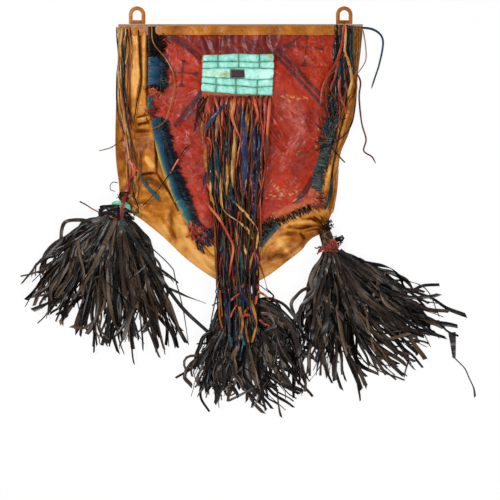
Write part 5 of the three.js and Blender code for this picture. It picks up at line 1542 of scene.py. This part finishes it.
# Side thongs: a loose bundle down each side, with its middle line on the plan and its spread along it
bundles = {
    "left_thongs_ochre": {
        "slot": "ochre_leather", "look": None, "count": 7, "width": (2.8, 4.6), "seed": 81, "tint": (0.62, 1.0),
        "line": [(123, 24), (123, 50), (122, 90), (127, 130), (130, 150), (133, 190)], "spread": (8, 7, 6, 2.5, 4, 6)},
    "left_thongs_red": {
        "slot": "red_leather", "look": "thong_red", "count": 2, "width": (1.6, 2.4), "seed": 82, "tint": (0.1, 0.36),
        "line": [(126, 24), (127, 50), (126, 92), (128, 130), (130, 150), (128, 196)], "spread": (6, 5, 4, 2.5, 3, 4)},
    "left_thongs_dark": {
        "slot": "navy_leather", "look": "brown_leather", "count": 2, "width": (2.0, 3.0), "seed": 83, "extra": True,
        "tint": (0.4, 0.9), "spread": (8, 7, 6, 2.5, 5, 6),
        "line": [(124, 24), (123, 52), (122, 92), (128, 132), (130, 150), (130, 200)]},
    "left_thongs_teal": {
        "slot": "teal_leather", "look": None, "count": 1, "width": (2.0, 2.8), "seed": 87, "tint": (0.0, 0.2),
        "line": [(122, 24), (121, 52), (121, 92), (127, 130), (134, 160), (140, 186)], "spread": (6, 6, 5, 2, 3, 4)},
    "right_thongs_ochre": {
        "slot": "ochre_leather", "look": None, "count": 4, "width": (2.0, 3.0), "seed": 84, "tint": (0.0, 0.4),
        "line": [(350, 24), (349, 52), (346, 90), (338, 125), (333, 160), (331, 206)], "spread": (12, 11, 10, 8, 6, 5)},
    "right_thongs_red": {
        "slot": "red_leather", "look": "thong_red", "count": 4, "width": (2.2, 3.4), "seed": 85, "tint": (0.05, 0.4),
        "line": [(344, 24), (342, 52), (339, 90), (334, 122), (330, 150), (327, 170)], "spread": (9, 8, 8, 7, 6, 6)},
    "right_thongs_dark": {
        "slot": "black_leather", "look": None, "count": 12, "width": (3.0, 6.5), "seed": 88, "tint": (0.0, 0.34),
        "line": [(345, 24), (343, 52), (338, 90), (333, 112), (330, 122)], "spread": (10, 9, 8, 7, 6), "extra": True},
    "right_thongs_dark_blue": {"slot": "navy_leather", "look": None, "count": 0, "seed": 89, "extra": True},
    "right_thongs_teal": {
        "slot": "teal_leather", "look": None, "count": 3, "width": (2.0, 3.4), "seed": 86, "tint": (0.0, 0.4),
        "line": [(346, 24), (344, 52), (340, 90), (335, 122), (329, 150), (324, 178)], "spread": (10, 9, 8, 7, 7, 6)},
}
# Single thongs: points on the plan, width in mm, tint, and for some the width at the end as a share
thongStrays = {
    "left_thongs_ochre": [
        ([(152, 26), (154, 44), (169, 64), (175.5, 85), (169, 114), (163, 125), (150, 131)], 2.4, 0.45),
        ([(124, 137), (117, 142), (109, 147), (97.6, 150)], 2.2, 0.2),
        ([(120, 56), (121, 85), (124, 110), (127, 128), (131, 142)], 3.2, 0.3),
        ([(135.5, 176), (137, 190), (135, 205)], 6.4, 0.42),
        ([(132.6, 207.5), (136, 211.6), (139.6, 216)], 9.0, 0.3),
        ([(129, 195), (131.4, 198), (134, 201)], 5.0, 0.6), ([(139, 150), (140, 166), (137, 182)], 2.4, 0.3)],
    "left_thongs_red": [
        ([(126, 140), (129.5, 160), (134, 171), (128, 184), (123.5, 204), (122, 221)], 9.0, 0.42),
        ([(124.4, 140), (129, 158), (133.7, 167), (134, 177)], 8.0, 0.72),
        ([(133.4, 165), (137, 170), (141, 175)], 5.0, 0.7),
        ([(179.5, 159.5), (175, 167), (170.6, 174)], 3.2, 0.95),
        ([(88, 207), (96, 211), (107, 216), (119, 219.5)], 2.6, 0.7),
        ([(130, 30), (128.8, 70), (127.4, 92), (128, 128)], 2.2, 0.25)],
    "left_thongs_dark": [
        ([(117.5, 26), (117.5, 60), (115.8, 76), (116, 100), (119, 119), (125, 136)], 2.6, 0.4),
        ([(127, 26), (125, 62), (124, 78), (126.4, 96), (130, 115), (132, 130)], 2.8, 0.1),
        ([(138, 26), (140.6, 62), (142, 82), (138.4, 98), (136, 112), (134, 127)], 2.4, 0.4),
        ([(190, 146), (184, 152), (178, 162), (171, 173), (158.5, 190.6), (145, 204), (141, 207)], 2.2, 0.2),
        ([(117, 182.4), (112, 181.6), (109, 185), (110, 189.5), (114.5, 190.8)], 1.6, 0.3),
        ([(78, 201), (84, 204), (91, 208.5)], 2.6, 0.5),
        ([(128, 186), (127, 198), (131, 208), (134, 216)], 4.4, 0.9),
        ([(132, 178), (134, 194), (138, 206), (138, 214)], 2.6, 0.5)],
    "left_thongs_teal": [
        ([(159.4, 200.5), (156, 195), (150, 189.4), (145, 183), (139.5, 172.5)], 8.6, 0.56, 0.3),
        ([(123, 40), (123, 76), (126, 101), (132, 122)], 3.0, 0.08)],
    "right_thongs_ochre": [
        ([(345, 24), (344.8, 42), (344.3, 52), (348, 60), (350.4, 69), (352, 80), (349.5, 90), (347.5, 97)],
         6.2, 0.8),
        ([(364, 28), (366.5, 44), (366.5, 59), (358.8, 72)], 2.2, 0.3),
        ([(357, 25), (358.6, 44), (357.4, 62), (357, 76)], 4.6, 0.12),
        ([(361, 25), (360, 46), (357.6, 70)], 3.4, 0.28),
        ([(338.4, 168), (336, 196), (332, 211), (327, 224)], 3.6, 0.5),
        ([(295, 153), (306, 155.6), (319, 146), (327, 140)], 2.2, 0.2),
        ([(340, 58), (334, 72), (326, 77.6), (326.4, 86), (335, 100), (337, 108), (334, 122)], 1.9, 0.25),
        ([(323, 88), (319.4, 106), (320, 120), (325, 135), (330, 149)], 2.0, 0.2),
        ([(325, 92), (326, 108), (329, 118), (333, 130)], 1.9, 0.15),
        ([(354, 80), (350, 96), (345, 112), (333, 131), (318, 147)], 2.2, 0.3)],
    "right_thongs_red": [
        ([(344, 24), (341.6, 44), (337, 60), (333, 68), (327, 77), (322, 90), (319.6, 106)], 5.0, 0.5),
        ([(338, 62), (335, 76), (331.4, 86), (330, 92)], 4.4, 0.5),
        ([(338.5, 80), (339.4, 94), (343.6, 106), (347, 114)], 5.0, 0.52),
        ([(340, 76), (338.5, 96), (339.5, 112), (338.6, 128)], 2.8, 0.45),
        ([(358, 72), (361.4, 81), (360, 96), (362.6, 122), (367, 138.4), (364.6, 150), (373, 156), (376.7, 163)],
         3.4, 0.22)],
    "right_thongs_dark": [
        ([(336, 26), (336, 44), (334.5, 58)], 7.0, 0.1), ([(344, 58), (344, 70), (345.6, 82)], 8.0, 0.05),
        ([(350.5, 24), (351, 44), (352.5, 62), (353, 76)], 6.0, 0.1),
        ([(357.6, 70), (357, 92), (355.4, 110), (352, 124), (344.5, 135), (330, 145), (314, 151.4)], 2.8, 0.2),
        ([(332, 148), (340, 156), (346, 162)], 3.0, 0.2), ([(329, 96), (331, 106), (333, 116)], 8.0, 0.1)],
    "right_thongs_dark_blue": [
        ([(350, 27), (362, 26), (374, 27.6), (382.4, 34), (384, 44), (380.2, 63), (376, 76), (372.3, 87.3)],
         4.6, 0.76, 0.62)],
    "right_thongs_teal": [
        ([(333, 178), (331.4, 187), (329.6, 195), (325, 210)], 5.6, 0.2),
        ([(339.4, 62), (338.6, 72), (340, 82)], 6.5, 0.35), ([(352.6, 24), (352.4, 44), (353.4, 62)], 4.0, 0.35)]}


# The tassels' heads, which the thongs lie over.
def headMound(x, y):
    mound = np.zeros(x.shape)
    for ear, axis, _, hub in hubs.values():
        away = nearLine(x, y, np.stack([ear, hub + axis * 4]))[0]
        mound = np.maximum(mound, 26.5 * smooth((20 - away) / 10))
    return mound


for name, spec in bundles.items():
    rng = np.random.default_rng(spec["seed"])
    strips = Strips()
    s = np.linspace(0, 1, 54)
    for _ in range(spec["count"]):
        middle = smoothLine(spec["line"], 80)
        share = s * rng.uniform(0.72, 1.0)
        px, py = (bridged(np.interp(share, np.linspace(0, 1, 80), values), 2) for values in middle.T)
        spread = np.interp(share, np.linspace(0, 1, len(spec["spread"])), spec["spread"])
        px = px + spread * np.clip(rng.uniform(-1, 1) + waver(rng, s, 0.28, 2.0), -1.1, 1.1)
        xy = onPlan(np.stack([px, py], -1))
        base = layHeight(*xy.T)
        rise = 4.2 * np.clip(rng.random() + waver(rng, s, 0.15, 4.0), 0, 1.1)
        z = np.maximum(base, bridged(base, 3)) + 1.0 + rise
        width = rng.uniform(*spec["width"]) * (1 - 0.25 * s)
        strips.cut(rng, xy, z, width, 1.2, waver(rng, s, 0.6, 4.0), rng.uniform(*spec["tint"]))
    s = np.linspace(0, 1, 40)
    for line, wide, tint, *end in thongStrays[name]:
        xy = planLine(line, len(s))
        under = np.maximum(layHeight(*xy.T), headMound(*xy.T))
        z = np.maximum(bridged(under, 4), under) + 2.2 + (2.0 + 2.6 * rng.random()) * (under > 3)
        z = bridged(z + np.abs(waver(rng, s, 0.4)), 2)
        endShare = end[0] if end else 0.8
        width = wide * (1 + (endShare - 1) * s) * blunt(s)
        roll = waver(rng, s, 0.9 / (1 + 0.5 * wide), 3.0)
        strips.cut(rng, xy, z, width, 1.2, roll, tint + waver(rng, s, 0.07, 3.0))
    strips.build(name, spec["slot"], [] if "extra" in spec else [name], spec["look"])
print("side thongs ready")

# Mouth hem and hanging loops, in mm
mouth = {"points": 120, "y": 241.0, "edgeY": 242.0, "restY": 240.0, "inset": 3, "over": 1.6, "width": 16.0,
         "thick": 1.5}
rng = np.random.default_rng(91)
leftEnd, rightEnd = (edgeAt(seam, mouth["edgeY"]) for seam in (leftSeam, rightSeam))
hemX = np.linspace(leftEnd + mouth["inset"], rightEnd - mouth["inset"], mouth["points"])
hemY = mouth["y"] + 0.6 * ripple(hemX, hemX * 0, 30, 92)
hemZ = bridged(layHeight(hemX, np.full(hemX.shape, mouth["restY"])), 2) + mouth["over"]
tint = 0.5 + waver(rng, np.linspace(0, 1, mouth["points"]), 0.08, 8.0)
hem = Strips()
hem.add(stacked(hemX, hemY, hemZ), mouth["width"], mouth["thick"], 0.0, tint)
hem.build("mouth_band", "tan_leather", ["mouth_band"])
loops = {"left_hanging_loop": -187.0, "right_hanging_loop": 189.0}
bend = {"half": 11.5, "foot": 259.0, "shoulder": 273.5, "arcY": 274.3, "z": 1.8, "width": 7.0, "thick": 2.6}
tab = {"half": 14.5, "y": 260.8, "z": 1.7, "width": 6.6, "thick": 2.7, "tint": 0.4}
for name, middle in loops.items():
    turn = np.linspace(0, np.pi, 22)
    right, left = middle + bend["half"], middle - bend["half"]
    arc = np.stack([middle + bend["half"] * np.cos(turn), bend["arcY"] + bend["half"] * np.sin(turn)], -1)
    legUp = np.linspace((right, bend["foot"]), (right, bend["shoulder"]), 8)
    legDown = np.linspace((left, bend["shoulder"]), (left, bend["foot"]), 8)
    xy = np.concatenate([legUp, arc, legDown])
    loop = Strips()
    loop.add(stacked(*xy.T, np.full(len(xy), bend["z"])), bend["width"], bend["thick"])
    across = np.linspace((middle - tab["half"], tab["y"], tab["z"]), (middle + tab["half"], tab["y"], tab["z"]), 8)
    loop.add(across, tab["width"], tab["thick"], 0.0, tab["tint"])
    loop.build(name, "tan_leather", [name])
print("hem and loops ready")

# Floor, light and camera, in metres
stage = {"floor": 30.0, "under": -0.0004, "ownLight": 0.88, "world": 0.2, "lightsAim": (0, -0.08, 0), "lens": 85.0,
         "sensor": 36.0, "over": (250, 250), "distance": 2.125, "plane": 0.02}
floorMesh = bpy.data.meshes.new("floor")
size, under = stage["floor"], stage["under"]
corners = [(-size, -size, under), (size, -size, under), (size, size, under), (-size, size, under)]
floorMesh.from_pydata(corners, [], [(0, 1, 2, 3)])
floor = bpy.data.objects.new("floor", floorMesh)
bpy.context.scene.collection.objects.link(floor)
floorLook = bpy.data.materials.new("floor")
floorLook.use_nodes = True
tree = floorLook.node_tree
tree.nodes.clear()
start = Tone(tree)
seen = start.make("ShaderNodeLightPath", out="Is Camera Ray")
diffuse = start.make("ShaderNodeBsdfDiffuse", None, {"Color": (0.94, 0.94, 0.94, 1)})
glow = start.make("ShaderNodeEmission", None, {"Color": (1, 1, 1, 1), "Strength": 1.0})
mixed = start.make("ShaderNodeMixShader", None, {0: seen * stage["ownLight"], 1: diffuse, 2: glow})
output = tree.nodes.new("ShaderNodeOutputMaterial")
tree.links.new(mixed.socket, output.inputs["Surface"])
floorMesh.materials.append(floorLook)
floor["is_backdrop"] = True

world = bpy.data.worlds.new("studio")
world.use_nodes = True
tree = world.node_tree
seen = Tone(tree).make("ShaderNodeLightPath", out="Is Camera Ray")
strength = seen * (1.0 - stage["world"]) + stage["world"]
tree.nodes["Background"].inputs["Color"].default_value = (1, 1, 1, 1)
tree.links.new(strength.socket, tree.nodes["Background"].inputs["Strength"])
bpy.context.scene.world = world
lamps = {
    "key": {"at": (-1.25, 0.85, 2.0), "size": 0.8, "power": 40.0},
    "fill": {"at": (1.1, -1.3, 1.8), "size": 1.2, "power": 30.0},
    "glint": {"at": (0.19, 0.34, 2.4), "size": 0.4, "power": 5.0},
}
for name, lamp in lamps.items():
    light = bpy.data.lights.new(name, "AREA")
    light.size, light.energy = lamp["size"], lamp["power"]
    lightObject = bpy.data.objects.new(name, light)
    lightObject.location = lamp["at"]
    aim = Vector(stage["lightsAim"]) - Vector(lamp["at"])
    lightObject.rotation_euler = aim.to_track_quat("-Z", "Y").to_euler()
    bpy.context.scene.collection.objects.link(lightObject)

camera = bpy.data.cameras.new("camera")
camera.lens = stage["lens"]
camera.sensor_width = stage["sensor"]
cameraObject = bpy.data.objects.new("camera", camera)
cameraX, cameraY = onPlan(stage["over"]) * 0.001
cameraObject.location = (cameraX, cameraY, stage["plane"] + stage["distance"])
bpy.context.scene.collection.objects.link(cameraObject)
bpy.context.scene.camera = cameraObject
bpy.context.scene.view_settings.view_transform = "Standard"

triangles = sum(sum(len(p.vertices) - 2 for p in o.data.polygons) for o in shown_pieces())
print("triangles", triangles)
